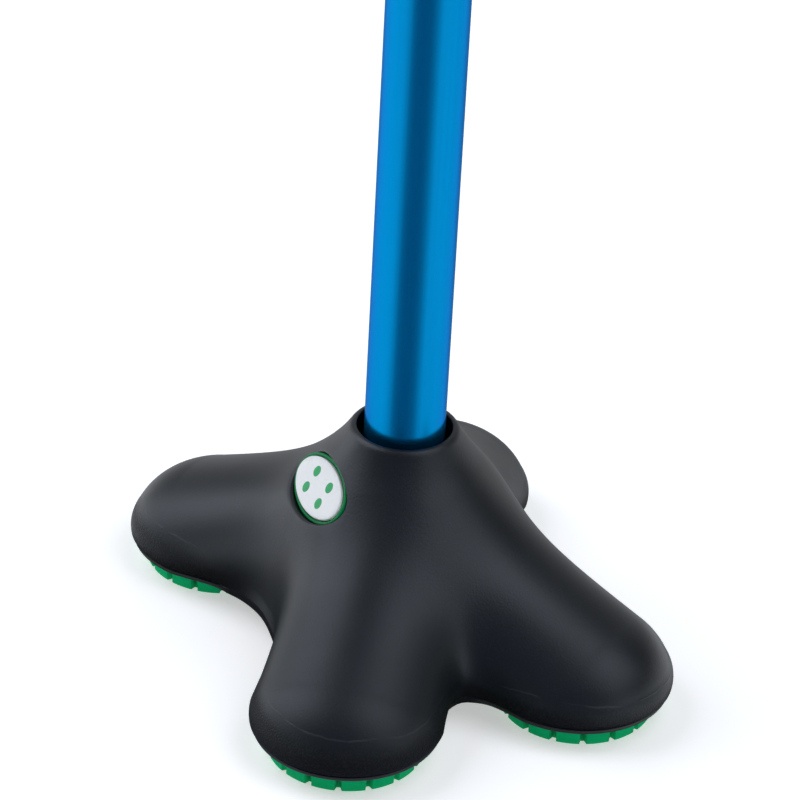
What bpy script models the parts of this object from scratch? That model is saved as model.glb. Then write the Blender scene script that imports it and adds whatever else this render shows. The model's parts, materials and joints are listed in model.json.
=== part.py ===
"""An offset quad cane: a four-legged base, a height-adjusting shaft and an offset handle.

Metres, +Z up. The origin is on the floor under the shaft's axis, +X is the way the user walks,
and the handle's grip runs back over the base. Sizes are written in millimetres and turned into
metres by MM.
"""

import functools
import math

import bmesh
import bpy
import numpy as np
from mathutils import Matrix, Vector
from mathutils.bvhtree import BVHTree

MM = 0.001
GAP = 0.3 * MM  # play between a piece and what it rests on or runs in

# Base: four feet, and the soft shell over them
FOOT_AHEAD = 42.2 * MM  # foot centres ahead of and behind the shaft
FOOT_ASIDE = 28.9 * MM  # foot centres to the left and right of it
RIM_HEIGHT = 56.2 * MM
RIM_ROOM = 1.9 * MM  # between the lower tube and the rim
RIM_WALL = 0.5 * MM  # at the rim, before the legs' blend thickens it
RIM_ROUNDING = 0.6 * MM
NECK_FLARE = 0.43  # growth of the neck's radius for each unit of height below the rim
SHELL_WALL = 2.6 * MM
LIP_HEIGHT = 4.2 * MM  # the shell's lower edge over each tread
ARCH_RISE = 12.2 * MM  # how far that edge climbs between the legs
ARCH_RUN = 29.0 * MM  # how far from a foot it has climbed half of that
ARCH_START = 19.0 * MM  # distance from a foot's centre at which it starts to climb

LEG_ROOT_REACH = 8.9 * MM  # where a leg's spine starts, from the shaft's axis
LEG_ROOT_HEIGHT = 30.0 * MM
LEG_ROOT_RADIUS = 15.8 * MM
TOE_REACH = 0.2 * MM  # how far past the foot's centre the toe's centre lies
TOE_HEIGHT = 6.6 * MM
TOE_RADIUS = 22.2 * MM
LEG_FLATNESS = 1.3  # a leg is this much wider than it is high
LEG_BLEND = 5.6 * MM
NECK_BLEND = 6.3 * MM
WAIST_HEIGHT = 12.2 * MM  # below this height the toes draw in towards the treads
WAIST_TAPER = 1.48
HEART_HEIGHT = 10.0 * MM  # the form is traced by rays from this height on the axis
HEART_RADIUS = 6.0 * MM  # smaller than any part of the form
FORM_REACH = 95.0 * MM  # larger than any part of it

# Treads
TREAD_RIM = 2.8 * MM  # the notched rim's reach past the neck that fills the toe's opening
TREAD_DRAFT = 0.8 * MM  # how much narrower the rim is at the floor
TREAD_THICKNESS = 3.9 * MM
TREAD_NOTCHES = 14
TREAD_NOTCH_WIDTH = 1.3 * MM
TREAD_NOTCH_DEPTH = 2.4 * MM
TREAD_NECK_TOP = 8.0 * MM
TREAD_STEM_RADIUS = 4.6 * MM
TREAD_STEM_TOP = 16.0 * MM

# Core frame inside the base
CORE_DROP = 17.2 * MM  # the core's top below the rim
CORE_WALL = 2.1 * MM
CORE_FLOOR = 3.0 * MM
ARM_WIDTH = 12.0 * MM
POST_RADIUS = 7.0 * MM
TOE_DISC_THICKNESS = 4.0 * MM
SOLE_PLATE_BOTTOM = 10.3 * MM  # just above the arches' edge, so it stays out of sight
SOLE_PLATE_THICKNESS = 2.0 * MM
SOLE_PLATE_ROOM = 3.0 * MM  # between the plate and each toe disc
SOLE_SCREW_REACH = 25.0 * MM
SCREW_RADIUS = 1.5 * MM
SCREW_HEAD_RADIUS = 3.0 * MM
SCREW_HEAD_HEIGHT = 2.0 * MM
SCREW_LENGTH = 9.0 * MM

# Badge in the base's right side
BADGE_LENGTH = 25.0 * MM
BADGE_WIDTH = 14.5 * MM
BADGE_LIFT = math.radians(56.8)  # its direction from the form's heart, above the horizon
BADGE_SUNK = 0.8 * MM  # its face below the skin at its centre
BADGE_FACE_THICKNESS = 0.8 * MM
BADGE_FACE_PROUD = 0.5 * MM  # above the plug's rim
BADGE_RIM = 1.1 * MM
BADGE_PLUG_FLOOR = 1.0 * MM  # the plug's thickness under the face
BADGE_BOSS = 3.0 * MM  # how much thicker the shell is behind the badge
BADGE_BOSS_SPREAD = 1.5  # the boss's size over the badge's

# Lower tube and what it holds
LOWER_TUBE_RADIUS = 9.525 * MM
LOWER_TUBE_WALL = 1.25 * MM
LOWER_TUBE_TOP = 395.0 * MM
TUBE_PLAY = 0.3375 * MM  # between the two tubes, all round
SLEEVE_WALL = 1.8 * MM
SLEEVE_PROUD = 2.0 * MM  # its top above the core's
WASHER_THICKNESS = 1.5 * MM
END_PLUG_FLANGE = 1.5 * MM
END_PLUG_DEPTH = 10.0 * MM
GUIDE_BUSH_DEPTH = 14.0 * MM
GUIDE_BUSH_FLANGE = 3.0 * MM
GUIDE_BUSH_WALL = 1.5 * MM
BUTTON_HEIGHT = 360.0 * MM
BUTTON_RADIUS = 3.175 * MM
BUTTON_PROUD = 2.6 * MM  # how far it stands out of the upper tube
BUTTON_FLANGE_RADIUS = 4.2 * MM
BUTTON_FLANGE_THICKNESS = 1.0 * MM
BUTTON_HOLE_PLAY = 0.4 * MM
BUTTON_DOME = 1.9 * MM  # height of its rounded end
SPRING_STRIP = 0.7 * MM
SPRING_WIDTH = 7.0 * MM
SPRING_BEND = 2.4 * MM
SPRING_RISE = 12.0 * MM  # above the button
SPRING_DROP = 36.0 * MM  # below it

# Upper tube, its height holes and the offset bend
UPPER_TUBE_WALL = 1.25 * MM
HANDLE_TOP_LOWEST = 724.0 * MM  # top of the grip above the floor at the lowest setting
HOLE_COUNT = 13
HOLE_PITCH = 19.05 * MM
REST_HOLE = 8  # steps above the lowest setting at rest
NECK_LEAN = math.radians(40.0)
NECK_LOWER_BEND = 55.0 * MM
NECK_UPPER_BEND = 40.0 * MM
HANDLE_REACH = 88.0 * MM  # the bend ahead of the shaft and the grip behind it both reach this far

# Collar at the upper tube's lower end
COLLAR_LOWEST = 72.0 * MM  # its lower face above the floor at the lowest setting
COLLAR_WALL = 2.6 * MM
COLLAR_HEIGHT = 27.0 * MM
COLLAR_FLOOR = 3.0 * MM
COLLAR_FLOOR_ROOM = 1.0 * MM  # between the collar's floor and the lower tube
COLLAR_CHAMFER = 1.5 * MM
THREAD_WALL = 2.8 * MM
THREAD_PLAY = 0.4 * MM
CLAMP_RING_HEIGHT = 6.0 * MM
CLAMP_RING_WALL = 3.1 * MM
CLAMP_RING_TAPER = 1.7 * MM
CLAMP_RING_SLIT = 1.6 * MM
BUSHING_SEAT = 14.0 * MM  # the upper tube's end above the collar's lower face
BUSHING_TOP = 44.0 * MM
BUSHING_FLANGE_WALL = 4.6 * MM
BUSHING_FLANGE_HEIGHT = 14.0 * MM
RIVET_RADIUS = 1.6 * MM
RIVET_HEAD_RADIUS = 2.8 * MM
RIVET_HEAD_HEIGHT = 0.9 * MM
RIVET_TOP_SHARE = 0.7  # the flat on a rivet's or screw's head over its radius

# Grip
GRIP_WALL = 5.6 * MM  # over the tube, at the grip's top
GRIP_NARROWNESS = 0.88  # width over height
GRIP_FINGER_DEPTH = 2.6 * MM  # of the hollows in its underside
GRIP_FINGER_HOLLOWS = 2
GRIP_END_TAPER = 1.4 * MM
GRIP_RING_LENGTH = 5.0 * MM
GRIP_RING_WALL = 4.0 * MM
END_CAP_LENGTH = 7.0 * MM
END_CAP_WALL = 3.5 * MM  # the cap's reach past the tube
END_CAP_INSERT = 12.0 * MM

# Mesh fineness
TURNED_STEPS = 32
BASE_COLUMNS = 72
BASE_ROWS = 17
PLATE_POINTS = 108
HOLE_STEPS = 16
DISC_STEPS = 36
POST_STEPS = 24
ROOM_STEPS = 144
SCREW_STEPS = 12
COLLAR_STEPS = 48
LOWER_BEND_POINTS = 8
UPPER_BEND_POINTS = 16
GRIP_STEPS = 32
GRIP_STATIONS = 21

# Worked out from the sizes above
LOWER_TUBE_BORE = LOWER_TUBE_RADIUS - LOWER_TUBE_WALL
UPPER_TUBE_BORE = LOWER_TUBE_RADIUS + TUBE_PLAY
UPPER_TUBE_RADIUS = UPPER_TUBE_BORE + UPPER_TUBE_WALL
RIM_BORE_RADIUS = LOWER_TUBE_RADIUS + RIM_ROOM
NECK_RADIUS = RIM_BORE_RADIUS + RIM_WALL
THREAD_RADIUS = UPPER_TUBE_RADIUS + GAP + THREAD_WALL
COLLAR_BORE_RADIUS = THREAD_RADIUS + THREAD_PLAY
COLLAR_RADIUS = COLLAR_BORE_RADIUS + COLLAR_WALL
CLAMP_RING_RADIUS = LOWER_TUBE_RADIUS + GAP + CLAMP_RING_WALL
BUSHING_FLANGE_RADIUS = UPPER_TUBE_RADIUS + GAP + BUSHING_FLANGE_WALL
GRIP_RADIUS = UPPER_TUBE_RADIUS + GAP + GRIP_WALL
REST_RAISE = REST_HOLE * HOLE_PITCH
COLLAR_BOTTOM = COLLAR_LOWEST + REST_RAISE
HANDLE_AXIS = HANDLE_TOP_LOWEST + REST_RAISE - GRIP_RADIUS
FOOT_DISTANCE = math.hypot(FOOT_AHEAD, FOOT_ASIDE)
FOOT_TURN = math.atan2(FOOT_ASIDE, FOOT_AHEAD)
SOLE_PLATE_TOP = SOLE_PLATE_BOTTOM + SOLE_PLATE_THICKNESS
ARM_BOTTOM = SOLE_PLATE_TOP + GAP
CORE_TOP = RIM_HEIGHT - CORE_DROP
SLEEVE_TOP = CORE_TOP + SLEEVE_PROUD
TOE_DISC_BOTTOM = TREAD_NECK_TOP + GAP
TOE_DISC_TOP = TOE_DISC_BOTTOM + TOE_DISC_THICKNESS
BADGE_FACE_BOTTOM = -(BADGE_SUNK + BADGE_FACE_THICKNESS)
BADGE_PLUG_TOP = -(BADGE_SUNK + BADGE_FACE_PROUD)
BADGE_PLUG_BOTTOM = BADGE_FACE_BOTTOM - GAP - BADGE_PLUG_FLOOR
SLEEVE_RADIUS = LOWER_TUBE_RADIUS + GAP + SLEEVE_WALL
CORE_BORE_RADIUS = SLEEVE_RADIUS + GAP
CORE_RADIUS = CORE_BORE_RADIUS + CORE_WALL
CORE_FLOOR_TOP = SOLE_PLATE_BOTTOM + CORE_FLOOR
WASHER_BOTTOM = CORE_FLOOR_TOP + GAP
END_PLUG_BOTTOM = WASHER_BOTTOM + WASHER_THICKNESS + GAP
LOWER_TUBE_BOTTOM = END_PLUG_BOTTOM + END_PLUG_FLANGE + GAP
FEET = {
    "front_left": (FOOT_AHEAD, FOOT_ASIDE),
    "front_right": (FOOT_AHEAD, -FOOT_ASIDE),
    "rear_left": (-FOOT_AHEAD, FOOT_ASIDE),
    "rear_right": (-FOOT_AHEAD, -FOOT_ASIDE),
}

# Scene and materials
for leftover in list(bpy.data.objects):
    bpy.data.objects.remove(leftover, do_unlink=True)
cane = bpy.data.collections.new("offset_quad_cane")
shaping = bpy.data.collections.new("cutters")
bpy.context.scene.collection.children.link(cane)
bpy.context.scene.collection.children.link(shaping)


def material(name, colour, roughness, metallic=0.0):
    made = bpy.data.materials.new(name)
    made.use_nodes = True
    shader = made.node_tree.nodes["Principled BSDF"]
    shader.inputs["Base Color"].default_value = (*colour, 1.0)
    shader.inputs["Roughness"].default_value = roughness
    shader.inputs["Metallic"].default_value = metallic
    return made


SOFT_BLACK = material("soft_black", (0.030, 0.033, 0.038), 0.55)
STIFF_BLACK = material("stiff_black", (0.035, 0.035, 0.037), 0.45)
GREEN_RUBBER = material("green_rubber", (0.004, 0.33, 0.12), 0.6)
BADGE_GREEN = material("badge_green", (0.006, 0.22, 0.07), 0.35)
BADGE_WHITE = material("badge_white", (0.80, 0.82, 0.84), 0.3)
BLUE_ANODISED = material("blue_anodised", (0.0, 0.26, 0.62), 0.3, 0.9)
STEEL = material("steel", (0.55, 0.55, 0.56), 0.3, 1.0)
NYLON = material("nylon", (0.72, 0.72, 0.68), 0.5)
GREY_PLASTIC = material("grey_plastic", (0.16, 0.16, 0.17), 0.4)
GRIP_FOAM = material("grip_foam", (0.022, 0.022, 0.024), 0.8)


# Making and joining meshes
def place(mesh, name, finish, smooth=True, angle=35.0):
    """Put a mesh into the cane's collection as one piece with its own finish."""
    piece = bpy.data.objects.new(name, mesh)
    cane.objects.link(piece)
    mesh.materials.clear()
    mesh.materials.append(finish)
    if smooth:
        mesh.shade_smooth()
        mesh.set_sharp_from_angle(angle=math.radians(angle))
    return piece


def as_cutter(piece):
    """Take a piece out of the cane: it only shapes another one."""
    cane.objects.unlink(piece)
    shaping.objects.link(piece)
    piece.hide_render = True
    piece.display_type = "WIRE"


def boolean(piece, other, operation):
    """Cut another shape from a piece, or join it to the piece."""
    as_cutter(other)
    step = piece.modifiers.new(other.name, "BOOLEAN")
    step.operation = operation
    step.object = other


def block(name, size, centre, finish, turn=0.0):
    """A box of the given size, turned about Z."""
    form = bmesh.new()
    scaled = Matrix.Rotation(turn, 4, "Z") @ Matrix.Diagonal((*size, 1.0))
    bmesh.ops.create_cube(form, size=1.0, matrix=Matrix.Translation(centre) @ scaled)
    mesh = bpy.data.meshes.new(name)
    form.to_mesh(mesh)
    form.free()
    return place(mesh, name, finish, smooth=False)


def rod(name, radius, start, end, finish, steps=24):
    """A cylinder from one point to another."""
    start, end = Vector(start), Vector(end)
    along = end - start
    turn = along.to_track_quat("Z", "Y").to_matrix().to_4x4()
    form = bmesh.new()
    bmesh.ops.create_cone(
        form,
        cap_ends=True,
        segments=steps,
        radius1=radius,
        radius2=radius,
        depth=along.length,
        matrix=Matrix.Translation((start + end) / 2) @ turn,
    )
    mesh = bpy.data.meshes.new(name)
    form.to_mesh(mesh)
    form.free()
    return place(mesh, name, finish)


def turned(name, outline, finish, closed=True, steps=TURNED_STEPS):
    """A profile of (radius, height) points spun about Z, outer side first, top to bottom."""
    mesh = bpy.data.meshes.new(name)
    count = len(outline)
    edges = [(i, i + 1) for i in range(count - 1)] + ([(count - 1, 0)] if closed else [])
    mesh.from_pydata([(radius, 0.0, height) for radius, height in outline], edges, [])
    piece = place(mesh, name, finish, smooth=False)
    spin = piece.modifiers.new("spin", "SCREW")
    spin.angle = math.tau
    spin.steps = steps
    spin.render_steps = steps
    spin.use_merge_vertices = True
    spin.merge_threshold = 1e-5
    spin.use_smooth_shade = True
    return piece


def tube_outline(outer, bore, bottom, top):
    return [(outer, top), (outer, bottom), (bore, bottom), (bore, top)]


def flat(name, outlines, thickness, finish):
    """Flat outlines, the later ones holes in the first, as a plate centred on its own plane."""
    shape = bpy.data.curves.new(name, "CURVE")
    shape.dimensions = "2D"
    shape.fill_mode = "BOTH"
    shape.extrude = thickness / 2
    for outline in outlines:
        spline = shape.splines.new("POLY")
        spline.points.add(len(outline) - 1)
        spline.use_cyclic_u = True
        for point, (x, y) in zip(spline.points, outline):
            point.co = (x, y, 0.0, 1.0)
    shape.materials.append(finish)
    piece = bpy.data.objects.new(name, shape)
    cane.objects.link(piece)
    return piece


def circle(radius, centre, steps):
    return [
        (centre[0] + radius * math.cos(a), centre[1] + radius * math.sin(a))
        for a in np.linspace(0.0, math.tau, steps, endpoint=False)
    ]


def lofted(name, rings, finish, closed=False):
    """A skin through rings of equally many points. Closed joins the last ring to the first."""
    count = len(rings[0])
    points = np.concatenate([np.asarray(ring, float) for ring in rings])
    faces = []
    for level in range(len(rings) if closed else len(rings) - 1):
        low = level * count
        high = (level + 1) % len(rings) * count
        for i in range(count):
            j = (i + 1) % count
            faces.append((low + i, low + j, high + j, high + i))
    if not closed:
        faces.append(tuple(range(count))[::-1])
        faces.append(tuple(range((len(rings) - 1) * count, len(rings) * count)))
    mesh = bpy.data.meshes.new(name)
    mesh.from_pydata(points.tolist(), [], faces)
    return place(mesh, name, finish)


# The base's form: a flared neck and four legs that melt into each other
def smooth_union(distances, blend):
    return -blend * np.log(np.exp(-np.stack(distances) / blend).sum(axis=0))


def base_depth(points):
    """About how far each point lies outside the base's skin, negative inside it."""
    x, y, z = np.abs(points[..., 0]), np.abs(points[..., 1]), points[..., 2]
    z = np.where(z < WAIST_HEIGHT, WAIST_HEIGHT + (z - WAIST_HEIGHT) * WAIST_TAPER, z)
    neck_radius = NECK_RADIUS + NECK_FLARE * (RIM_HEIGHT - z)
    neck = (np.hypot(x, y) - neck_radius) / math.hypot(1.0, NECK_FLARE)
    outward = np.array([FOOT_AHEAD, FOOT_ASIDE]) / FOOT_DISTANCE
    legs = []
    for ahead, aside in ((1, 1), (1, -1), (-1, 1), (-1, -1)):
        way = outward * (ahead, aside)
        root = np.array([*(way * LEG_ROOT_REACH), LEG_ROOT_HEIGHT])
        toe = np.array([*(way * (FOOT_DISTANCE + TOE_REACH)), TOE_HEIGHT])
        spine = toe - root
        from_root = np.stack([x, y, z], axis=-1) - root
        share = np.clip(from_root @ spine / (spine @ spine), 0.0, 1.0)
        off_spine = (from_root - share[..., None] * spine) * (1.0, 1.0, LEG_FLATNESS)
        radius = LEG_ROOT_RADIUS + (TOE_RADIUS - LEG_ROOT_RADIUS) * share
        legs.append(np.linalg.norm(off_spine, axis=-1) - radius)
    return smooth_union([neck, smooth_union(legs, LEG_BLEND)], NECK_BLEND)


def skin_points(turn, lift, form=base_depth):
    """Where rays from the form's heart, turned about Z and lifted above the horizon, leave it."""
    way = np.stack(
        [np.cos(turn) * np.cos(lift), np.sin(turn) * np.cos(lift), np.sin(lift)], axis=-1
    )
    heart = np.array([0.0, 0.0, HEART_HEIGHT])
    reaches = np.linspace(FORM_REACH, HEART_RADIUS, 24)
    inside = np.stack([form(heart + way * reach) < 0 for reach in reaches])
    first = np.clip(np.argmax(inside, axis=0), 1, len(reaches) - 1)
    far, near = reaches[first - 1], reaches[first]
    for _ in range(18):
        middle = (far + near) / 2
        within = form(heart + way * middle[..., None]) < 0
        near = np.where(within, middle, near)
        far = np.where(within, far, middle)
    return heart + way * ((far + near) / 2)[..., None]


@functools.cache
def badge_frame():
    """The skin's point over the badge's centre, and the badge's long, short and outward directions."""
    centre = skin_points(np.array(-math.pi / 2), np.array(BADGE_LIFT))
    step = 0.05 * MM
    slope = [
        base_depth(centre + step * axis) - base_depth(centre - step * axis) for axis in np.eye(3)
    ]
    outward = Vector(slope).normalized()
    sideways = Vector((1.0, 0.0, 0.0))
    return Vector(centre), sideways, outward.cross(sideways), outward


def inner_depth(points):
    """The same measure from the shell's inner skin, which lies deeper behind the badge."""
    centre, sideways, upward, _ = (np.array(part) for part in badge_frame())
    from_badge = points - centre
    along = from_badge @ sideways / (BADGE_LENGTH / 2 * BADGE_BOSS_SPREAD)
    across = from_badge @ upward / (BADGE_WIDTH / 2 * BADGE_BOSS_SPREAD)
    on_badge_side = points[..., 1] < 0
    boss = BADGE_BOSS * np.exp(-((along**2 + across**2) ** 2)) * on_badge_side
    return base_depth(points) + SHELL_WALL + boss


def edge_height(points):
    """Height of the shell's lower edge: level over each tread, climbing into the arches."""
    from_foot = np.hypot(np.abs(points[..., 0]) - FOOT_AHEAD, np.abs(points[..., 1]) - FOOT_ASIDE)
    past = np.maximum(from_foot - ARCH_START, 0.0)
    return LIP_HEIGHT + ARCH_RISE * past**2 / (past**2 + ARCH_RUN**2)


def even_turns(count):
    """Directions about Z whose skin points are evenly spaced round the toes' widest section."""
    dense = np.linspace(0.0, math.tau, 1441)
    section = skin_points(dense, np.zeros_like(dense))
    run = np.concatenate([[0.0], np.cumsum(np.linalg.norm(np.diff(section, axis=0), axis=1))])
    return np.interp(np.linspace(0.0, run[-1], count, endpoint=False), run, dense)


def crossing(values, level):
    """Where a growing run of values reaches a level, counted in points of the run."""
    return np.interp(level, np.maximum.accumulate(values), np.arange(len(values)))


def cut_line(line, start, end, count):
    """Evenly spaced points of a line, from one place on it to another."""
    fine = np.linspace(start, end, 200)
    points = np.stack([np.interp(fine, np.arange(len(line)), line[:, k]) for k in range(3)], axis=-1)
    run = np.concatenate([[0.0], np.cumsum(np.linalg.norm(np.diff(points, axis=0), axis=1))])
    even = np.linspace(0.0, run[-1], count)
    return np.stack([np.interp(even, run, points[:, k]) for k in range(3)], axis=-1)


def base_skins(turns, rows):
    """The shell's outer and inner skins as arrays of upright lines, lower edge first."""
    lifts = np.radians(np.linspace(-16.0, 78.0, 110))
    turn, lift = np.meshgrid(turns, lifts, indexing="ij")
    outer, inner = [], []
    for line in skin_points(turn, lift):
        start = crossing(line[:, 2] - edge_height(line), 0.0)
        outer.append(cut_line(line, start, crossing(line[:, 2], RIM_HEIGHT - RIM_ROUNDING), rows))
    for line in skin_points(turn, lift, inner_depth):
        start = crossing(line[:, 2] - edge_height(line), 0.0)
        end = crossing(-np.hypot(line[:, 0], line[:, 1]), -RIM_BORE_RADIUS)
        inner.append(cut_line(line, start, end, rows * 2 // 3))
    return np.array(outer), np.array(inner)


TURNS = even_turns(BASE_COLUMNS)
OUTER_SKIN, INNER_SKIN = base_skins(TURNS, BASE_ROWS)


def inner_facets():
    """The inner skin as a search tree, with each facet split along both of its diagonals."""
    columns, rows = INNER_SKIN.shape[:2]
    column, row = np.meshgrid(np.arange(columns), np.arange(rows - 1), indexing="ij")
    here = column * rows + row
    beside = (column + 1) % columns * rows + row
    corners = np.stack([here, beside, beside + 1, here + 1], axis=-1).reshape(-1, 4)
    halves = [corners[:, order] for order in ((0, 1, 2), (0, 2, 3), (0, 1, 3), (1, 2, 3))]
    return BVHTree.FromPolygons(INNER_SKIN.reshape(-1, 3).tolist(), np.concatenate(halves).tolist())


INNER_FACETS = inner_facets()


def room_towards(start, way):
    """Distance from a place inside the inner skin to its facets, in a direction."""
    distance = INNER_FACETS.ray_cast(start, way)[3]
    return math.inf if distance is None else distance


def foot_room(low, high):
    """Radius about a foot's centre that clears the inner skin between two heights."""
    rooms = [
        room_towards((FOOT_AHEAD, FOOT_ASIDE, height), (*way, 0.0))
        for height in np.linspace(low, high, 5)
        for way in circle(1.0, (0.0, 0.0), ROOM_STEPS)
    ]
    return min(rooms) - GAP


def post_top():
    """Height that clears the inner skin all over a post."""
    spots = circle(POST_RADIUS, (FOOT_AHEAD, FOOT_ASIDE), POST_STEPS)
    rooms = [room_towards((*spot, TOE_DISC_BOTTOM), (0.0, 0.0, 1.0)) for spot in spots]
    return TOE_DISC_BOTTOM + min(rooms) - GAP


def rim_ring(radius, height):
    level = np.full_like(TURNS, height)
    return np.stack([radius * np.cos(TURNS), radius * np.sin(TURNS), level], axis=-1)


def make_base_shell():
    top_radius = np.hypot(OUTER_SKIN[:, -1, 0], OUTER_SKIN[:, -1, 1]).mean()
    rings = list(OUTER_SKIN.swapaxes(0, 1))
    for angle in (math.radians(45), math.radians(90)):
        shrink = RIM_ROUNDING * (1 - math.cos(angle))
        drop = RIM_ROUNDING * (1 - math.sin(angle))
        rings.append(rim_ring(top_radius - shrink, RIM_HEIGHT - drop))
    rings.append(rim_ring(RIM_BORE_RADIUS, RIM_HEIGHT))
    rings += list(INNER_SKIN.swapaxes(0, 1))[::-1]
    shell = lofted("base_shell", rings, SOFT_BLACK, closed=True)
    pocket_floor = BADGE_PLUG_BOTTOM - GAP
    pocket = badge_disc("badge_pocket", GAP, pocket_floor, BADGE_WIDTH, SOFT_BLACK)
    boolean(shell, pocket, "DIFFERENCE")


# Badge: an oval plug in a pocket of the shell, and a disc in the plug's hollow
def badge_disc(name, wider, low, high, finish):
    """An oval disc about the badge's centre, wider than it by a margin, between two depths."""
    centre, sideways, upward, outward = badge_frame()
    form = bmesh.new()
    bmesh.ops.create_cone(
        form, cap_ends=True, segments=48, radius1=1.0, radius2=1.0, depth=high - low
    )
    stretch = Matrix.Diagonal((BADGE_LENGTH / 2 + wider, BADGE_WIDTH / 2 + wider, 1.0, 1.0))
    raise_to = Matrix.Translation((0.0, 0.0, (low + high) / 2))
    turn = Matrix((sideways, upward, outward)).transposed().to_4x4()
    move = Matrix.Translation(centre) @ turn @ raise_to @ stretch
    bmesh.ops.transform(form, matrix=move, verts=form.verts)
    mesh = bpy.data.meshes.new(name)
    form.to_mesh(mesh)
    form.free()
    return place(mesh, name, finish)


def make_badge():
    plug = badge_disc("badge_plug", 0.0, BADGE_PLUG_BOTTOM, BADGE_PLUG_TOP, BADGE_GREEN)
    hollow_floor = BADGE_FACE_BOTTOM - GAP
    hollow = badge_disc("badge_hollow", GAP - BADGE_RIM, hollow_floor, BADGE_WIDTH, BADGE_GREEN)
    boolean(plug, hollow, "DIFFERENCE")
    badge_disc("badge_face", -BADGE_RIM, BADGE_FACE_BOTTOM, -BADGE_SUNK, BADGE_WHITE)


# Treads
def notched_ring(radius, height, centre, depth):
    """A circle with evenly spaced notches cut into it."""
    ring = []
    pitch = math.tau / TREAD_NOTCHES
    half = TREAD_NOTCH_WIDTH / 2 / radius
    for notch in range(TREAD_NOTCHES):
        middle = notch * pitch
        steps = ((-half, depth), (half, depth), (half, 0.0), (pitch / 2, 0.0), (pitch - half, 0.0))
        for turn, cut in steps:
            reach = radius - cut
            ring.append(
                (
                    centre[0] + reach * math.cos(middle + turn),
                    centre[1] + reach * math.sin(middle + turn),
                    height,
                )
            )
    return ring


def make_treads():
    neck_radius = foot_room(LIP_HEIGHT, TREAD_NECK_TOP)
    rim_radius = neck_radius + TREAD_RIM
    levels = (
        (rim_radius - TREAD_DRAFT, 0.0, TREAD_NOTCH_DEPTH),
        (rim_radius, TREAD_THICKNESS, TREAD_NOTCH_DEPTH),
        (neck_radius, TREAD_THICKNESS, 0.0),
        (neck_radius, TREAD_NECK_TOP, 0.0),
        (TREAD_STEM_RADIUS, TREAD_NECK_TOP, 0.0),
        (TREAD_STEM_RADIUS, TREAD_STEM_TOP, 0.0),
    )
    for name, centre in FEET.items():
        rings = [notched_ring(radius, height, centre, cut) for radius, height, cut in levels]
        lofted("tread_" + name, rings, GREEN_RUBBER)


# Core frame, sole plate and screws
def screw_spots():
    for turn in (FOOT_TURN, -FOOT_TURN, math.pi - FOOT_TURN, math.pi + FOOT_TURN):
        yield SOLE_SCREW_REACH * math.cos(turn), SOLE_SCREW_REACH * math.sin(turn)


def make_hub_core():
    core = turned(
        "hub_core",
        [
            (CORE_RADIUS, CORE_TOP),
            (CORE_RADIUS, SOLE_PLATE_BOTTOM),
            (0.0, SOLE_PLATE_BOTTOM),
            (0.0, CORE_FLOOR_TOP),
            (CORE_BORE_RADIUS, CORE_FLOOR_TOP),
            (CORE_BORE_RADIUS, CORE_TOP),
        ],
        STIFF_BLACK,
    )
    arm_top = post_top()
    arm_depth = arm_top - ARM_BOTTOM
    arm_start = (CORE_RADIUS + CORE_BORE_RADIUS) / 2
    arm_length = FOOT_DISTANCE - arm_start
    arm_middle = arm_start + arm_length / 2
    disc_radius = foot_room(TOE_DISC_BOTTOM, TOE_DISC_TOP)
    low, high = TOE_DISC_BOTTOM, TOE_DISC_TOP
    for name, (x, y) in FEET.items():
        turn = math.atan2(y, x)
        centre = (arm_middle * math.cos(turn), arm_middle * math.sin(turn), ARM_BOTTOM + arm_depth / 2)
        arm = block("arm_" + name, (arm_length, ARM_WIDTH, arm_depth), centre, STIFF_BLACK, turn)
        post = rod("post_" + name, POST_RADIUS, (x, y, low), (x, y, arm_top), STIFF_BLACK, POST_STEPS)
        disc = rod("disc_" + name, disc_radius, (x, y, low), (x, y, high), STIFF_BLACK, DISC_STEPS)
        hole_top = TREAD_STEM_TOP + GAP
        hole = rod("stem_hole_" + name, TREAD_STEM_RADIUS + GAP, (x, y, 0.0), (x, y, hole_top), STIFF_BLACK)
        for shape, operation in ((arm, "UNION"), (post, "UNION"), (disc, "UNION"), (hole, "DIFFERENCE")):
            boolean(core, shape, operation)
    for number, (x, y) in enumerate(screw_spots(), 1):
        hole = rod(
            f"screw_hole_{number}",
            SCREW_RADIUS + GAP,
            (x, y, SOLE_PLATE_BOTTOM),
            (x, y, SOLE_PLATE_BOTTOM + SCREW_LENGTH + GAP),
            STIFF_BLACK,
            SCREW_STEPS,
        )
        boolean(core, hole, "DIFFERENCE")


def plate_outline():
    """Clear of the shell's inner skin and lower edge all round, with a bite for each toe disc."""
    turns = np.linspace(0.0, math.tau, PLATE_POINTS, endpoint=False)
    ways = circle(1.0, (0.0, 0.0), PLATE_POINTS)
    reach = np.interp(turns, TURNS, np.hypot(*INNER_SKIN[:, 0, :2].T), period=math.tau)
    for height in (SOLE_PLATE_BOTTOM, SOLE_PLATE_TOP):
        rooms = [room_towards((0.0, 0.0, height), (*way, 0.0)) for way in ways]
        reach = np.minimum(reach, rooms)
    reach = reach - GAP
    bite = foot_room(TOE_DISC_BOTTOM, TOE_DISC_TOP) + SOLE_PLATE_ROOM
    for x, y in FEET.values():
        ahead = x * np.cos(turns) + y * np.sin(turns)
        beside = x * np.sin(turns) - y * np.cos(turns)
        meets = (np.abs(beside) < bite) & (ahead > 0)
        near = ahead - np.sqrt(np.maximum(bite**2 - beside**2, 0.0))
        reach = np.where(meets, np.minimum(reach, near), reach)
    return np.stack([reach * np.cos(turns), reach * np.sin(turns)], axis=-1).tolist()


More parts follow.
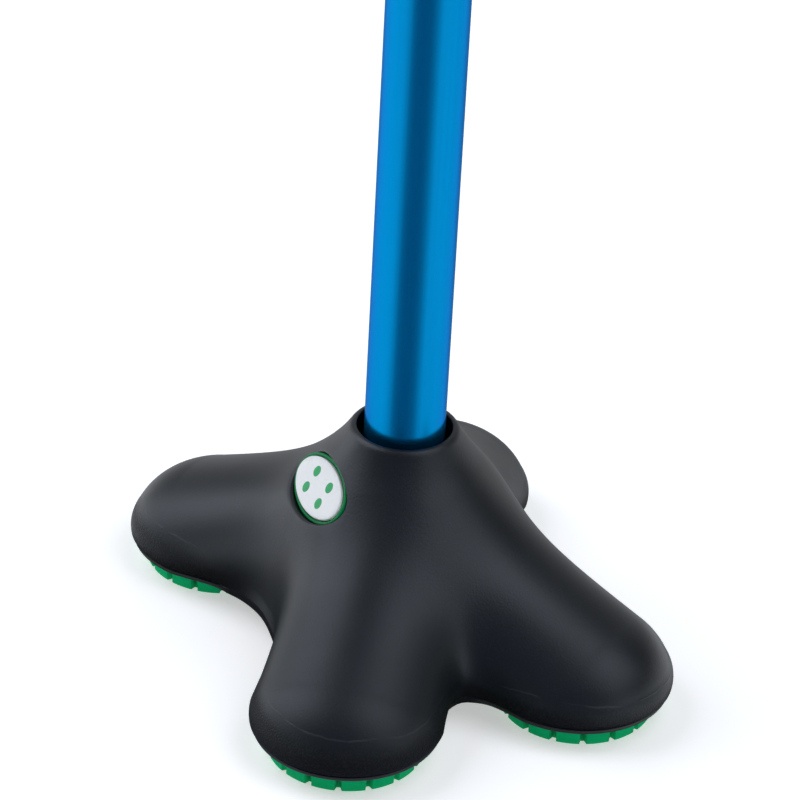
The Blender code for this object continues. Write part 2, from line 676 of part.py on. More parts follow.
def make_sole_plate():
    holes = [circle(CORE_RADIUS + GAP, (0.0, 0.0), TURNED_STEPS)]
    holes += [circle(SCREW_RADIUS + GAP, spot, SCREW_STEPS) for spot in screw_spots()]
    plate = flat("sole_plate", [plate_outline(), *holes], SOLE_PLATE_THICKNESS, STIFF_BLACK)
    plate.location.z = SOLE_PLATE_BOTTOM + SOLE_PLATE_THICKNESS / 2


def make_sole_screws():
    head_bottom = -GAP - SCREW_HEAD_HEIGHT
    for number, (x, y) in enumerate(screw_spots(), 1):
        outline = [
            (0.0, SCREW_LENGTH),
            (SCREW_RADIUS, SCREW_LENGTH),
            (SCREW_RADIUS, -GAP),
            (SCREW_HEAD_RADIUS, -GAP),
            (SCREW_HEAD_RADIUS, head_bottom + SCREW_HEAD_HEIGHT / 2),
            (SCREW_HEAD_RADIUS * RIVET_TOP_SHARE, head_bottom),
            (0.0, head_bottom),
        ]
        screw = turned(f"sole_screw_{number}", outline, STEEL, closed=False, steps=SCREW_STEPS)
        screw.location = (x, y, SOLE_PLATE_BOTTOM)


# Lower tube and the pieces in it
def make_lower_tube():
    tube = turned(
        "lower_tube",
        tube_outline(LOWER_TUBE_RADIUS, LOWER_TUBE_BORE, LOWER_TUBE_BOTTOM, LOWER_TUBE_TOP),
        BLUE_ANODISED,
    )
    hole = rod(
        "lower_button_hole",
        BUTTON_RADIUS + BUTTON_HOLE_PLAY,
        (0.0, -LOWER_TUBE_RADIUS - GAP, BUTTON_HEIGHT),
        (0.0, -LOWER_TUBE_BORE / 2, BUTTON_HEIGHT),
        BLUE_ANODISED,
    )
    boolean(tube, hole, "DIFFERENCE")
    turned(
        "seat_washer",
        tube_outline(
            CORE_BORE_RADIUS - GAP, LOWER_TUBE_BORE / 2, WASHER_BOTTOM, WASHER_BOTTOM + WASHER_THICKNESS
        ),
        STEEL,
    )
    turned(
        "socket_sleeve",
        tube_outline(SLEEVE_RADIUS, LOWER_TUBE_RADIUS + GAP, END_PLUG_BOTTOM, SLEEVE_TOP),
        SOFT_BLACK,
    )
    plug_top = LOWER_TUBE_BOTTOM + END_PLUG_DEPTH
    insert_radius = LOWER_TUBE_BORE - GAP
    turned(
        "tube_end_plug",
        [
            (0.0, plug_top),
            (insert_radius, plug_top),
            (insert_radius, LOWER_TUBE_BOTTOM - GAP),
            (LOWER_TUBE_RADIUS, LOWER_TUBE_BOTTOM - GAP),
            (LOWER_TUBE_RADIUS, END_PLUG_BOTTOM),
            (0.0, END_PLUG_BOTTOM),
        ],
        GREY_PLASTIC,
        closed=False,
    )
    flange_bottom = LOWER_TUBE_TOP + GAP
    turned(
        "guide_bush",
        [
            (LOWER_TUBE_RADIUS, flange_bottom + GUIDE_BUSH_FLANGE),
            (LOWER_TUBE_RADIUS, flange_bottom),
            (insert_radius, flange_bottom),
            (insert_radius, LOWER_TUBE_TOP - GUIDE_BUSH_DEPTH),
            (insert_radius - GUIDE_BUSH_WALL, LOWER_TUBE_TOP - GUIDE_BUSH_DEPTH),
            (insert_radius - GUIDE_BUSH_WALL, flange_bottom + GUIDE_BUSH_FLANGE),
        ],
        NYLON,
    )


def button_depths():
    """Distances from the shaft's axis: button tip, flange outer face, flange inner face."""
    chord = math.sqrt(LOWER_TUBE_BORE**2 - BUTTON_FLANGE_RADIUS**2)
    flange_outer = chord - GAP
    return UPPER_TUBE_RADIUS + BUTTON_PROUD, flange_outer, flange_outer - BUTTON_FLANGE_THICKNESS


def make_snap_button():
    tip, flange_outer, flange_inner = button_depths()
    dome = [
        (BUTTON_RADIUS * math.cos(a), tip - BUTTON_DOME * (1 - math.sin(a)))
        for a in np.radians([80, 60, 40, 20, 0])
    ]
    outline = [
        (0.0, tip),
        *dome,
        (BUTTON_RADIUS, flange_outer),
        (BUTTON_FLANGE_RADIUS, flange_outer),
        (BUTTON_FLANGE_RADIUS, flange_inner),
        (0.0, flange_inner),
    ]
    button = turned("snap_button", outline, STEEL, closed=False, steps=24)
    button.location.z = BUTTON_HEIGHT
    button.rotation_euler = (math.radians(90), 0.0, 0.0)


def make_snap_spring():
    """A strip bent to a V: one leg carries the button, the other leans on the tube's far wall."""
    near = -(button_depths()[2] - GAP - SPRING_STRIP / 2)
    chord = math.sqrt(LOWER_TUBE_BORE**2 - (SPRING_WIDTH / 2) ** 2)
    far = chord - GAP - SPRING_STRIP / 2
    middle = (near + far) / 2
    turn = [
        (middle - SPRING_BEND * math.cos(a), -SPRING_DROP - SPRING_BEND * math.sin(a))
        for a in np.radians([20, 55, 90, 125, 160])
    ]
    path = np.array([(near, SPRING_RISE), (near, -BUTTON_FLANGE_RADIUS), *turn, (far, SPRING_RISE)])
    along = np.gradient(path, axis=0)
    along /= np.linalg.norm(along, axis=1)[:, None]
    side = np.stack([-along[:, 1], along[:, 0]], axis=-1) * SPRING_STRIP / 2
    outline = np.concatenate([path + side, (path - side)[::-1]]).tolist()
    spring = flat("snap_spring", [outline], SPRING_WIDTH, STEEL)
    spring.rotation_euler = (math.radians(90), 0.0, math.radians(90))
    spring.location.z = BUTTON_HEIGHT


# Upper tube
def arc_points(centre, radius, start, end, count):
    """Points of an arc in the plane of X and Z, angles from +X towards +Z."""
    return [
        (centre[0] + radius * math.cos(a), centre[1] + radius * math.sin(a))
        for a in np.linspace(start, end, count)
    ]


def handle_path():
    """The upper tube's centre line in X and Z: straight shaft, lean forward, turn back, handle."""
    front = HANDLE_REACH - UPPER_TUBE_RADIUS
    upper_centre_x = front - NECK_UPPER_BEND
    upper_centre = (upper_centre_x, HANDLE_AXIS - NECK_UPPER_BEND)
    lean_out = (math.sin(NECK_LEAN), math.cos(NECK_LEAN))
    lean_end_x = upper_centre_x + NECK_UPPER_BEND * math.cos(NECK_LEAN)
    lean_end_z = upper_centre[1] - NECK_UPPER_BEND * math.sin(NECK_LEAN)
    bend_x = NECK_LOWER_BEND * (1 - math.cos(NECK_LEAN))
    lean_length = (lean_end_x - bend_x) / lean_out[0]
    bend_top_z = lean_end_z - lean_length * lean_out[1]
    bend_start_z = bend_top_z - NECK_LOWER_BEND * math.sin(NECK_LEAN)
    lower_centre = (NECK_LOWER_BEND, bend_start_z)
    lower_end = math.pi - NECK_LEAN
    lower = arc_points(lower_centre, NECK_LOWER_BEND, math.pi, lower_end, LOWER_BEND_POINTS)
    upper = arc_points(upper_centre, NECK_UPPER_BEND, -NECK_LEAN, math.pi / 2, UPPER_BEND_POINTS)
    tube_end = -(HANDLE_REACH - END_CAP_LENGTH - GAP)
    return [(0.0, COLLAR_BOTTOM + BUSHING_SEAT), *lower, *upper, (tube_end, HANDLE_AXIS)]


def make_upper_tube():
    path = handle_path()
    curve = bpy.data.curves.new("upper_tube_path", "CURVE")
    curve.dimensions = "3D"
    curve.bevel_depth = UPPER_TUBE_RADIUS
    curve.bevel_resolution = TURNED_STEPS // 2 - 2
    spline = curve.splines.new("POLY")
    spline.points.add(len(path) - 1)
    for point, (x, z) in zip(spline.points, path):
        point.co = (x, 0.0, z, 1.0)
    guide = bpy.data.objects.new("upper_tube_path", curve)
    cane.objects.link(guide)
    bpy.context.view_layer.update()
    evaluated = guide.evaluated_get(bpy.context.evaluated_depsgraph_get())
    mesh = bpy.data.meshes.new_from_object(evaluated)
    bpy.data.objects.remove(guide)
    tube = place(mesh, "upper_tube", BLUE_ANODISED)
    wall = tube.modifiers.new("wall", "SOLIDIFY")
    wall.thickness = UPPER_TUBE_WALL
    wall.offset = -1.0
    wall.use_even_offset = True
    holes = bmesh.new()
    depth = UPPER_TUBE_RADIUS - LOWER_TUBE_BORE / 2
    for step in range(HOLE_COUNT):
        height = BUTTON_HEIGHT + (REST_HOLE - step) * HOLE_PITCH
        lay = Matrix.Translation((0.0, -(UPPER_TUBE_RADIUS + GAP - depth / 2), height))
        bmesh.ops.create_cone(
            holes,
            cap_ends=True,
            segments=HOLE_STEPS,
            radius1=BUTTON_RADIUS + BUTTON_HOLE_PLAY,
            radius2=BUTTON_RADIUS + BUTTON_HOLE_PLAY,
            depth=depth,
            matrix=lay @ Matrix.Rotation(math.radians(90), 4, "X"),
        )
    hole_mesh = bpy.data.meshes.new("height_holes")
    holes.to_mesh(hole_mesh)
    holes.free()
    boolean(tube, place(hole_mesh, "height_holes", BLUE_ANODISED), "DIFFERENCE")
    boolean(tube, rivet_hole("tube_rivet_hole"), "DIFFERENCE")


# Collar
def rivet_height():
    return COLLAR_BOTTOM + BUSHING_TOP - BUSHING_FLANGE_HEIGHT / 2


def rivet_hole(name):
    reach = BUSHING_FLANGE_RADIUS + GAP
    height = rivet_height()
    return rod(name, RIVET_RADIUS + GAP, (-reach, 0.0, height), (reach, 0.0, height), STEEL, HOLE_STEPS)


def make_thread_bushing():
    seat = COLLAR_BOTTOM + BUSHING_SEAT
    top = COLLAR_BOTTOM + BUSHING_TOP
    flange_bottom = top - BUSHING_FLANGE_HEIGHT
    ring_bottom = COLLAR_BOTTOM + COLLAR_FLOOR + GAP
    mouth = ring_bottom + CLAMP_RING_HEIGHT / 4
    cone_top = ring_bottom + CLAMP_RING_HEIGHT + GAP
    cone_slope = CLAMP_RING_TAPER / CLAMP_RING_HEIGHT
    mouth_radius = CLAMP_RING_RADIUS + GAP - cone_slope * (mouth - ring_bottom)
    cone_radius = CLAMP_RING_RADIUS + GAP - cone_slope * (cone_top - ring_bottom)
    bushing = turned(
        "thread_bushing",
        [
            (BUSHING_FLANGE_RADIUS, top),
            (BUSHING_FLANGE_RADIUS, flange_bottom),
            (THREAD_RADIUS, flange_bottom),
            (THREAD_RADIUS, mouth),
            (mouth_radius, mouth),
            (cone_radius, cone_top),
            (LOWER_TUBE_RADIUS + GAP, cone_top),
            (LOWER_TUBE_RADIUS + GAP, seat - GAP),
            (UPPER_TUBE_RADIUS + GAP, seat - GAP),
            (UPPER_TUBE_RADIUS + GAP, top),
        ],
        STIFF_BLACK,
    )
    boolean(bushing, rivet_hole("bushing_rivet_hole"), "DIFFERENCE")
    head_seat = BUSHING_FLANGE_RADIUS + GAP
    inner_end = LOWER_TUBE_RADIUS + 2 * GAP
    for name, quarter in (("bushing_rivet_front", 90), ("bushing_rivet_rear", -90)):
        outline = [
            (0.0, head_seat + RIVET_HEAD_HEIGHT),
            (RIVET_HEAD_RADIUS * RIVET_TOP_SHARE, head_seat + RIVET_HEAD_HEIGHT),
            (RIVET_HEAD_RADIUS, head_seat),
            (RIVET_RADIUS, head_seat),
            (RIVET_RADIUS, inner_end),
            (0.0, inner_end),
        ]
        rivet = turned(name, outline, STEEL, closed=False, steps=SCREW_STEPS)
        rivet.location.z = rivet_height()
        rivet.rotation_euler = (0.0, math.radians(quarter), 0.0)


def make_clamp_ring():
    bottom = COLLAR_BOTTOM + COLLAR_FLOOR + GAP
    top = bottom + CLAMP_RING_HEIGHT
    ring = turned(
        "clamp_ring",
        [
            (CLAMP_RING_RADIUS - CLAMP_RING_TAPER, top),
            (CLAMP_RING_RADIUS, bottom),
            (LOWER_TUBE_RADIUS + GAP, bottom),
            (LOWER_TUBE_RADIUS + GAP, top),
        ],
        NYLON,
    )
    size = (CLAMP_RING_RADIUS, CLAMP_RING_SLIT, CLAMP_RING_HEIGHT * 2)
    centre = (-CLAMP_RING_RADIUS, 0.0, (bottom + top) / 2)
    boolean(ring, block("clamp_ring_slit", size, centre, NYLON), "DIFFERENCE")


def make_locking_collar():
    top = COLLAR_BOTTOM + COLLAR_HEIGHT
    floor_top = COLLAR_BOTTOM + COLLAR_FLOOR
    turned(
        "locking_collar",
        [
            (COLLAR_RADIUS - COLLAR_CHAMFER, top),
            (COLLAR_RADIUS, top - COLLAR_CHAMFER),
            (COLLAR_RADIUS, COLLAR_BOTTOM + COLLAR_CHAMFER),
            (COLLAR_RADIUS - COLLAR_CHAMFER, COLLAR_BOTTOM),
            (LOWER_TUBE_RADIUS + COLLAR_FLOOR_ROOM, COLLAR_BOTTOM),
            (LOWER_TUBE_RADIUS + COLLAR_FLOOR_ROOM, floor_top),
            (COLLAR_BORE_RADIUS, floor_top),
            (COLLAR_BORE_RADIUS, top),
        ],
        STIFF_BLACK,
        steps=COLLAR_STEPS,
    )


# Grip
def lay_along_handle(piece, x):
    """Turn a piece spun about Z so that its top points along the handle to the rear, at x."""
    piece.rotation_euler = (0.0, math.radians(-90), 0.0)
    piece.location = (x, 0.0, HANDLE_AXIS)


def handle_ring(x, half_width, rise, drop):
    """A ring about the handle's axis whose upper and lower halves differ in height."""
    turns = np.linspace(0.0, math.tau, GRIP_STEPS, endpoint=False)
    height = np.where(np.sin(turns) > 0, rise, drop) * np.sin(turns)
    return np.stack([np.full_like(turns, x), half_width * np.cos(turns), HANDLE_AXIS + height], axis=-1)


def grip_section(front, rear, share):
    """The grip's outside at a share of its length: level on top, hollowed for fingers below."""
    taper = GRIP_END_TAPER * (2 * share - 1) ** 6
    hollow = GRIP_FINGER_DEPTH * (1 - math.cos(share * GRIP_FINGER_HOLLOWS * math.tau)) / 2
    half_width = GRIP_RADIUS * GRIP_NARROWNESS - taper
    drop = GRIP_RADIUS - max(taper, hollow)
    return handle_ring(front + (rear - front) * share, half_width, GRIP_RADIUS - taper, drop)


def make_grip():
    handle_start = HANDLE_REACH - UPPER_TUBE_RADIUS - NECK_UPPER_BEND
    bore = UPPER_TUBE_RADIUS + GAP
    ring_front = handle_start - GAP
    grip_front = ring_front - GRIP_RING_LENGTH - GAP
    cap_inner = -(HANDLE_REACH - END_CAP_LENGTH)
    grip_rear = cap_inner + GAP
    ring = turned(
        "grip_front_ring",
        [
            (bore + GRIP_RING_WALL, GRIP_RING_LENGTH),
            (bore + GRIP_RING_WALL, GRIP_RING_LENGTH / 3),
            (bore + GRIP_RING_WALL * 2 / 3, 0.0),
            (bore, 0.0),
            (bore, GRIP_RING_LENGTH),
        ],
        GREY_PLASTIC,
    )
    lay_along_handle(ring, ring_front)
    rings = [grip_section(grip_front, grip_rear, share) for share in np.linspace(0.0, 1.0, GRIP_STATIONS)]
    rings += [handle_ring(x, bore, bore, bore) for x in (grip_rear, grip_front)]
    lofted("hand_grip", rings[::-1], GRIP_FOAM, closed=True)
    insert_radius = UPPER_TUBE_BORE - GAP
    cap_radius = UPPER_TUBE_RADIUS + END_CAP_WALL
    dome = [
        (cap_radius * math.sin(a), END_CAP_LENGTH * math.cos(a))
        for a in np.radians([0, 22, 42, 60, 76, 90])
    ]
    cap = turned(
        "grip_end_cap",
        [*dome, (insert_radius, 0.0), (insert_radius, -END_CAP_INSERT), (0.0, -END_CAP_INSERT)],
        STIFF_BLACK,
        closed=False,
    )
    lay_along_handle(cap, cap_inner)


make_base_shell()
make_badge()
make_treads()
make_hub_core()
make_sole_plate()
make_sole_screws()
make_lower_tube()
make_snap_button()
make_snap_spring()
make_upper_tube()
make_thread_bushing()
make_clamp_ring()
make_locking_collar()
make_grip()
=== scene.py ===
# %% [markdown]
# # The looks of an offset quad cane
#
# A quad cane is a walking stick on a small four-legged base, so that it stands by itself. The packed
# model holds every piece of it at its real size and says how it moves. This lesson lays a finished
# surface over each piece that shows, and gives it the material of the real cane. Sizes are read from
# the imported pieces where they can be, and each new surface rides on the body of the piece it stands for.

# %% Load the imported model
import json
import math

import bmesh
import bpy
import numpy as np
from mathutils import Matrix, Vector


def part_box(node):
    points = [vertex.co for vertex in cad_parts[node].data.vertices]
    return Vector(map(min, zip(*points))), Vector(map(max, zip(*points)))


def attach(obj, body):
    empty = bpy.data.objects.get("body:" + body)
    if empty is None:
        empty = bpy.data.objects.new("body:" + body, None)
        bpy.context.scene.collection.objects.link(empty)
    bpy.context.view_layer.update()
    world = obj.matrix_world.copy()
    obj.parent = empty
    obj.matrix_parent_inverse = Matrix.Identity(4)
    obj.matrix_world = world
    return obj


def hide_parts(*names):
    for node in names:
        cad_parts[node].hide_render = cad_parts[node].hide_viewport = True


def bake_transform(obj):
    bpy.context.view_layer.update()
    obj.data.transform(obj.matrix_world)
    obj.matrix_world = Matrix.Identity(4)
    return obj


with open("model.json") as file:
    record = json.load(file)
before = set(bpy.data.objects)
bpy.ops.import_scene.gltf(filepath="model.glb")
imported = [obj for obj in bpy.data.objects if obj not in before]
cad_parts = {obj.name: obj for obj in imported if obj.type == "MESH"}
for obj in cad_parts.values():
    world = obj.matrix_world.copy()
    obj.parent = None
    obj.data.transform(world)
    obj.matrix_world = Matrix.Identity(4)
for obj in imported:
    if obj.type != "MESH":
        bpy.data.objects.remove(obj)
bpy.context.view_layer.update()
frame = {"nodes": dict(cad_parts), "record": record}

MM = 0.001

# %% Where each piece belongs
record = frame["record"]
BODY_OF = {piece: body for body, pieces in record["behaviour"]["bodies"].items() for piece in pieces}


def lowest(packed):
    return np.array(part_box(packed)[0])


def highest(packed):
    return np.array(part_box(packed)[1])


def middle(packed):
    return (lowest(packed) + highest(packed)) / 2


def heights(packed):
    return lowest(packed)[2], highest(packed)[2]


# %% [markdown]
# ## The camera
#
# The photograph looks down at the foot of the cane from about 30 degrees, from well away, so a long
# lens keeps the legs nearly parallel. The camera is placed the way a photographer would say it: a
# direction round the cane, a height above the horizon, a distance, a slight tilt, and a small step
# sideways and up that puts the base where it stands in the picture.

# %% Directions, and new objects


def towards(azimuth, elevation=0.0):
    """The way out from the cane to a place round it, in degrees: azimuth 0 is at -Y and 90 at +X."""
    turn, lift = math.radians(azimuth), math.radians(elevation)
    return np.array([math.sin(turn) * math.cos(lift), -math.cos(turn) * math.cos(lift), math.sin(lift)])


def add(name, data):
    """A new object in the scene."""
    made = bpy.data.objects.new(name, data)
    bpy.context.scene.collection.objects.link(made)
    return made


# %% Camera
VIEW_AZIMUTH = 66.48
VIEW_ELEVATION = 30.61
VIEW_DISTANCE = 0.9057
VIEW_ROLL = math.radians(3.13)
VIEW_TARGET = np.array([0.0, 0.0, 0.030])
VIEW_STEP = np.array([0.0001, 0.02817])  # to the camera's own right and up
LENS = 172.35  # millimetres, on a sensor 36 wide
SENSOR = 36.0

back = towards(VIEW_AZIMUTH, VIEW_ELEVATION)
level = towards(VIEW_AZIMUTH + 90.0)
upright = np.cross(back, level)
right = level * math.cos(VIEW_ROLL) + upright * math.sin(VIEW_ROLL)
up = upright * math.cos(VIEW_ROLL) - level * math.sin(VIEW_ROLL)
eye = VIEW_TARGET + back * VIEW_DISTANCE + right * VIEW_STEP[0] + up * VIEW_STEP[1]

lens = bpy.data.cameras.new("photo_camera")
lens.lens, lens.sensor_width = LENS, SENSOR
camera = add("photo_camera", lens)
camera.matrix_world = Matrix.Translation(eye) @ Matrix(np.stack([right, up, back], axis=1)).to_4x4()
bpy.context.scene.camera = camera
bpy.context.scene.view_settings.view_transform = "Standard"
print("camera at", np.round(eye, 3))

# %% [markdown]
# ## Shader nodes in few words
#
# Materials below are made of many small nodes. A few helpers keep them readable: an output can be
# added to and multiplied like a number, and each such step makes a Math node.

# %% Node helpers


class Output:
    """A node's output. A name in brackets gives another output of the same node."""

    def __init__(self, socket):
        self.socket, self.tree = socket, socket.id_data

    def __getitem__(self, name):
        return Output(self.socket.node.outputs[name])

    def __add__(self, other):
        return math_of("ADD", self, other)

    def __sub__(self, other):
        return math_of("SUBTRACT", self, other)

    def __rsub__(self, other):
        return math_of("SUBTRACT", other, self)

    def __mul__(self, other):
        return math_of("MULTIPLY", self, other)


def feed(socket, value):
    """Links an input to an output, or sets it. A colour is given as three numbers and is opaque."""
    if isinstance(value, Output):
        socket.id_data.links.new(value.socket, socket)
    else:
        socket.default_value = (*value, 1.0) if socket.type == "RGBA" else value


def node(tree, kind, inputs=None, **settings):
    """A shader node's first output. Its settings are made first, then its inputs are fed."""
    made = tree.nodes.new("ShaderNode" + kind)
    for name, value in settings.items():
        setattr(made, name, value)
    for name, value in (inputs or {}).items():
        feed(made.inputs[name], value)
    return Output(made.outputs[0]) if made.outputs else made


def math_of(operation, *values):
    """The output of a Math node that works on outputs and numbers."""
    tree = next(value.tree for value in values if isinstance(value, Output))
    return node(tree, "Math", dict(enumerate(values)), operation=operation)


def between(value, low, high, to_low=0.0, to_high=1.0):
    """A value carried smoothly from one range to another, and held at its ends."""
    ends = {"Value": value, "From Min": low, "From Max": high, "To Min": to_low, "To Max": to_high}
    return node(value.tree, "MapRange", ends, interpolation_type="SMOOTHSTEP")


def colours(share, first, second):
    """Two colours blended by a share. The Mix node's colours are its inputs 6 and 7 and its output 2."""
    return node(share.tree, "Mix", {0: share, 6: first, 7: second}, data_type="RGBA")[2]


def noise(place, scale, detail, distortion=0.0):
    inputs = {"Vector": place, "Scale": scale, "Detail": detail, "Distortion": distortion}
    return node(place.tree, "TexNoise", inputs)


def object_place(tree):
    return node(tree, "TexCoord")["Object"]


def bare_tree(owner):
    """The emptied node tree of a material or of the world."""
    owner.use_nodes = True
    owner.node_tree.nodes.clear()
    return owner.node_tree


# %% [markdown]
# ## Studio
#
# The real cane was shot in a pale studio. The floor is plain and pale, glows a little so that it stays
# white, and keeps the cane's shadow. The camera sees a white world, which mirrors see dim overhead,
# and the light comes from six soft boxes: large ones give the black base its broad, soft highlights,
# and low ones reach the toes. Cards that only reflections see stand in front of and behind the cane,
# and a dark disc lies round its base. They draw the soft dark line down the middle of the tube and
# its darker edges, because a tube that mirrors nothing but white looks flat.

# %% World
WHITE = (1.0, 1.0, 1.0)
WORLD_COLOUR = (0.97, 0.985, 1.0)
WORLD_LIGHT = 0.08
SKY_GREY = 0.10
HORIZON = (0.06, 0.28)  # a mirrored direction turns from white to grey between these heights

world = bpy.context.scene.world = bpy.data.worlds.new("studio")
sky = bare_tree(world)
path = node(sky, "LightPath")
seen = math_of("MAXIMUM", path["Is Camera Ray"], path["Is Transmission Ray"])
rise = node(sky, "SeparateXYZ", {0: node(sky, "TexCoord")["Generated"]})["Z"]
light = node(sky, "Background", {"Color": WORLD_COLOUR, "Strength": WORLD_LIGHT})
mirrored = node(sky, "Background", {"Color": WHITE, "Strength": between(rise, *HORIZON, 1.0, SKY_GREY)})
white = node(sky, "Background", {"Color": WHITE, "Strength": 1.0})
unseen = node(sky, "MixShader", {0: path["Is Glossy Ray"], 1: light, 2: mirrored})
node(sky, "OutputWorld", {"Surface": node(sky, "MixShader", {0: seen, 1: unseen, 2: white})})

# %% Soft boxes
LAMP_COLOUR = (0.94, 0.97, 1.05)
LAMP_DISTANCE = 1.5
LAMP_AIM = Vector((0.0, 0.0, 0.03))

for name, azimuth, elevation, size, power in (
    ("key_left", -37.0, 45.0, 1.25, 12.0),
    ("low_left", -48.0, 12.0, 0.7, 2.1),
    ("low_back", 248.0, 14.0, 0.8, 3.6),
    ("high_right", 134.0, 53.0, 1.2, 7.0),
    ("top_right", 170.0, 72.0, 0.9, 2.3),
    ("low_right", 122.0, 12.0, 0.7, 0.9),
):
    lamp = bpy.data.lights.new(name, "AREA")
    lamp.shape, lamp.size, lamp.energy, lamp.color = "SQUARE", size, power, LAMP_COLOUR
    box = add(name, lamp)
    way = Vector(towards(azimuth, elevation))
    facing = way.to_track_quat("Z", "Y").to_matrix().to_4x4()
    box.matrix_world = Matrix.Translation(LAMP_AIM + way * LAMP_DISTANCE) @ facing
    box.visible_camera = False

# %% Floor
FLOOR_DROP = 0.02 * MM  # below the treads, so that two faces never coincide
FLOOR_RADIUS = 4.0
FLOOR_COLOUR = (0.90, 0.905, 0.91)
FLOOR_GLOW = 0.47
FLOOR_FADE = (0.2, 0.9)  # between these distances it fades into the white of the world


def glowing(tree, colour, strength=1.0):
    return node(tree, "Emission", {"Color": colour, "Strength": strength})


def surfaced(name, surface):
    """A material whose surface is made by a function of its emptied tree."""
    made = bpy.data.materials.new(name)
    tree = bare_tree(made)
    node(tree, "OutputMaterial", {"Surface": surface(tree)})
    return made


def flat_sheet(name, corners, finish):
    """One flat face through its corners, part of the studio and not of the cane."""
    mesh = bpy.data.meshes.new(name)
    mesh.from_pydata(np.array(corners).tolist(), [], [tuple(range(len(corners)))])
    mesh.materials.append(finish)
    made = add(name, mesh)
    return made


def disc(radius, height):
    turn = np.linspace(0.0, math.tau, 64, endpoint=False)
    return np.stack([radius * np.cos(turn), radius * np.sin(turn), np.full_like(turn, height)], axis=-1)


def floor_surface(tree):
    matt = node(tree, "BsdfDiffuse", {"Color": FLOOR_COLOUR})
    near = node(tree, "AddShader", {0: matt, 1: glowing(tree, WHITE, FLOOR_GLOW)})
    far = node(tree, "VectorMath", {0: object_place(tree)}, operation="LENGTH")["Value"]
    share = between(far, *FLOOR_FADE)
    return node(tree, "MixShader", {0: share, 1: near, 2: glowing(tree, WHITE)})


flat_sheet("studio_floor", disc(FLOOR_RADIUS, -FLOOR_DROP), surfaced("studio_floor", floor_surface))

# %% Cards for the reflections
CARD_NEAR, CARD_FAR, CARD_TOP = 0.085, 0.9, 1.3
CARD_HALF = 54.0  # degrees from a card's middle to its sides
GROUND_RADIUS = 0.078
GROUND_COLOUR = (0.03, 0.03, 0.03)


def mirrored_sheet(name, corners, finish):
    """A flat sheet that shows in reflections alone."""
    part = flat_sheet(name, corners, finish)
    part.visible_camera = part.visible_diffuse = False
    part.visible_shadow = part.visible_transmission = False


def soft_card(name, azimuth, colour):
    """A card that lies on the floor and bends up into a wall, widening as it goes. It is clear at its
    sides, by the cosine of the angle between a point's direction and its own."""

    def surface(tree):
        level = node(tree, "VectorMath", {0: object_place(tree), 1: (1, 1, 0)}, operation="MULTIPLY")
        way = node(tree, "VectorMath", {0: level}, operation="NORMALIZE")
        ways = {0: way, 1: tuple(towards(azimuth))}
        cosine = node(tree, "VectorMath", ways, operation="DOT_PRODUCT")["Value"]
        share = between(cosine, math.cos(math.radians(CARD_HALF)), 1.0)
        clear = node(tree, "BsdfTransparent")
        return node(tree, "MixShader", {0: share, 1: clear, 2: glowing(tree, colour)})

    finish = surfaced(name, surface)
    sides = np.array([towards(azimuth - CARD_HALF), towards(azimuth + CARD_HALF)])
    far = sides[::-1] * CARD_FAR
    mirrored_sheet(f"{name}_lying", [*(sides * CARD_NEAR), *far], finish)
    mirrored_sheet(f"{name}_standing", [*(sides * CARD_FAR), *(far + (0, 0, CARD_TOP))], finish)


soft_card("front_card", 60.0, (0.18, 0.20, 0.27))
soft_card("rear_card", 242.0, (0.42, 0.43, 0.44))
ground = surfaced("ground_card", lambda tree: glowing(tree, GROUND_COLOUR))
mirrored_sheet("ground_card", disc(GROUND_RADIUS, -FLOOR_DROP / 2), ground)
print("studio ready")

# %% [markdown]
# ## Surfaces worked out as grids
#
# Almost every piece of the cane is a surface over two parameters: once round, and once along. So
# each is worked out as a whole grid of points at a time and turned into faces by one helper. Several
# such sheets can meet in one piece: points that coincide become one, which also closes the seams
# and the poles, and then all faces are turned outwards.

# %% Mesh helpers
WELD = 0.0002 * MM


def grid(points, join_rows=False, join_columns=True, left_out=None):
    """Faces over points in rows and columns: each takes a point, its neighbour in the row, and the two
    of the next row. A joined direction runs on from its last line to its first. A part given by its
    rows and columns can be left out, for a patch."""
    rows, columns = points.shape[:2]
    row = np.arange(rows - (not join_rows))[:, None]
    column = np.arange(columns - (not join_columns))[None, :]
    next_row, next_column = (row + 1) % rows, (column + 1) % columns
    pairs = ((row, column), (row, next_column), (next_row, next_column), (next_row, column))
    faces = np.stack([down * columns + along for down, along in pairs], axis=-1)
    kept = np.ones(faces.shape[:2], bool)
    if left_out is not None:
        kept[left_out] = False
    return points.reshape(-1, 3), faces[kept]


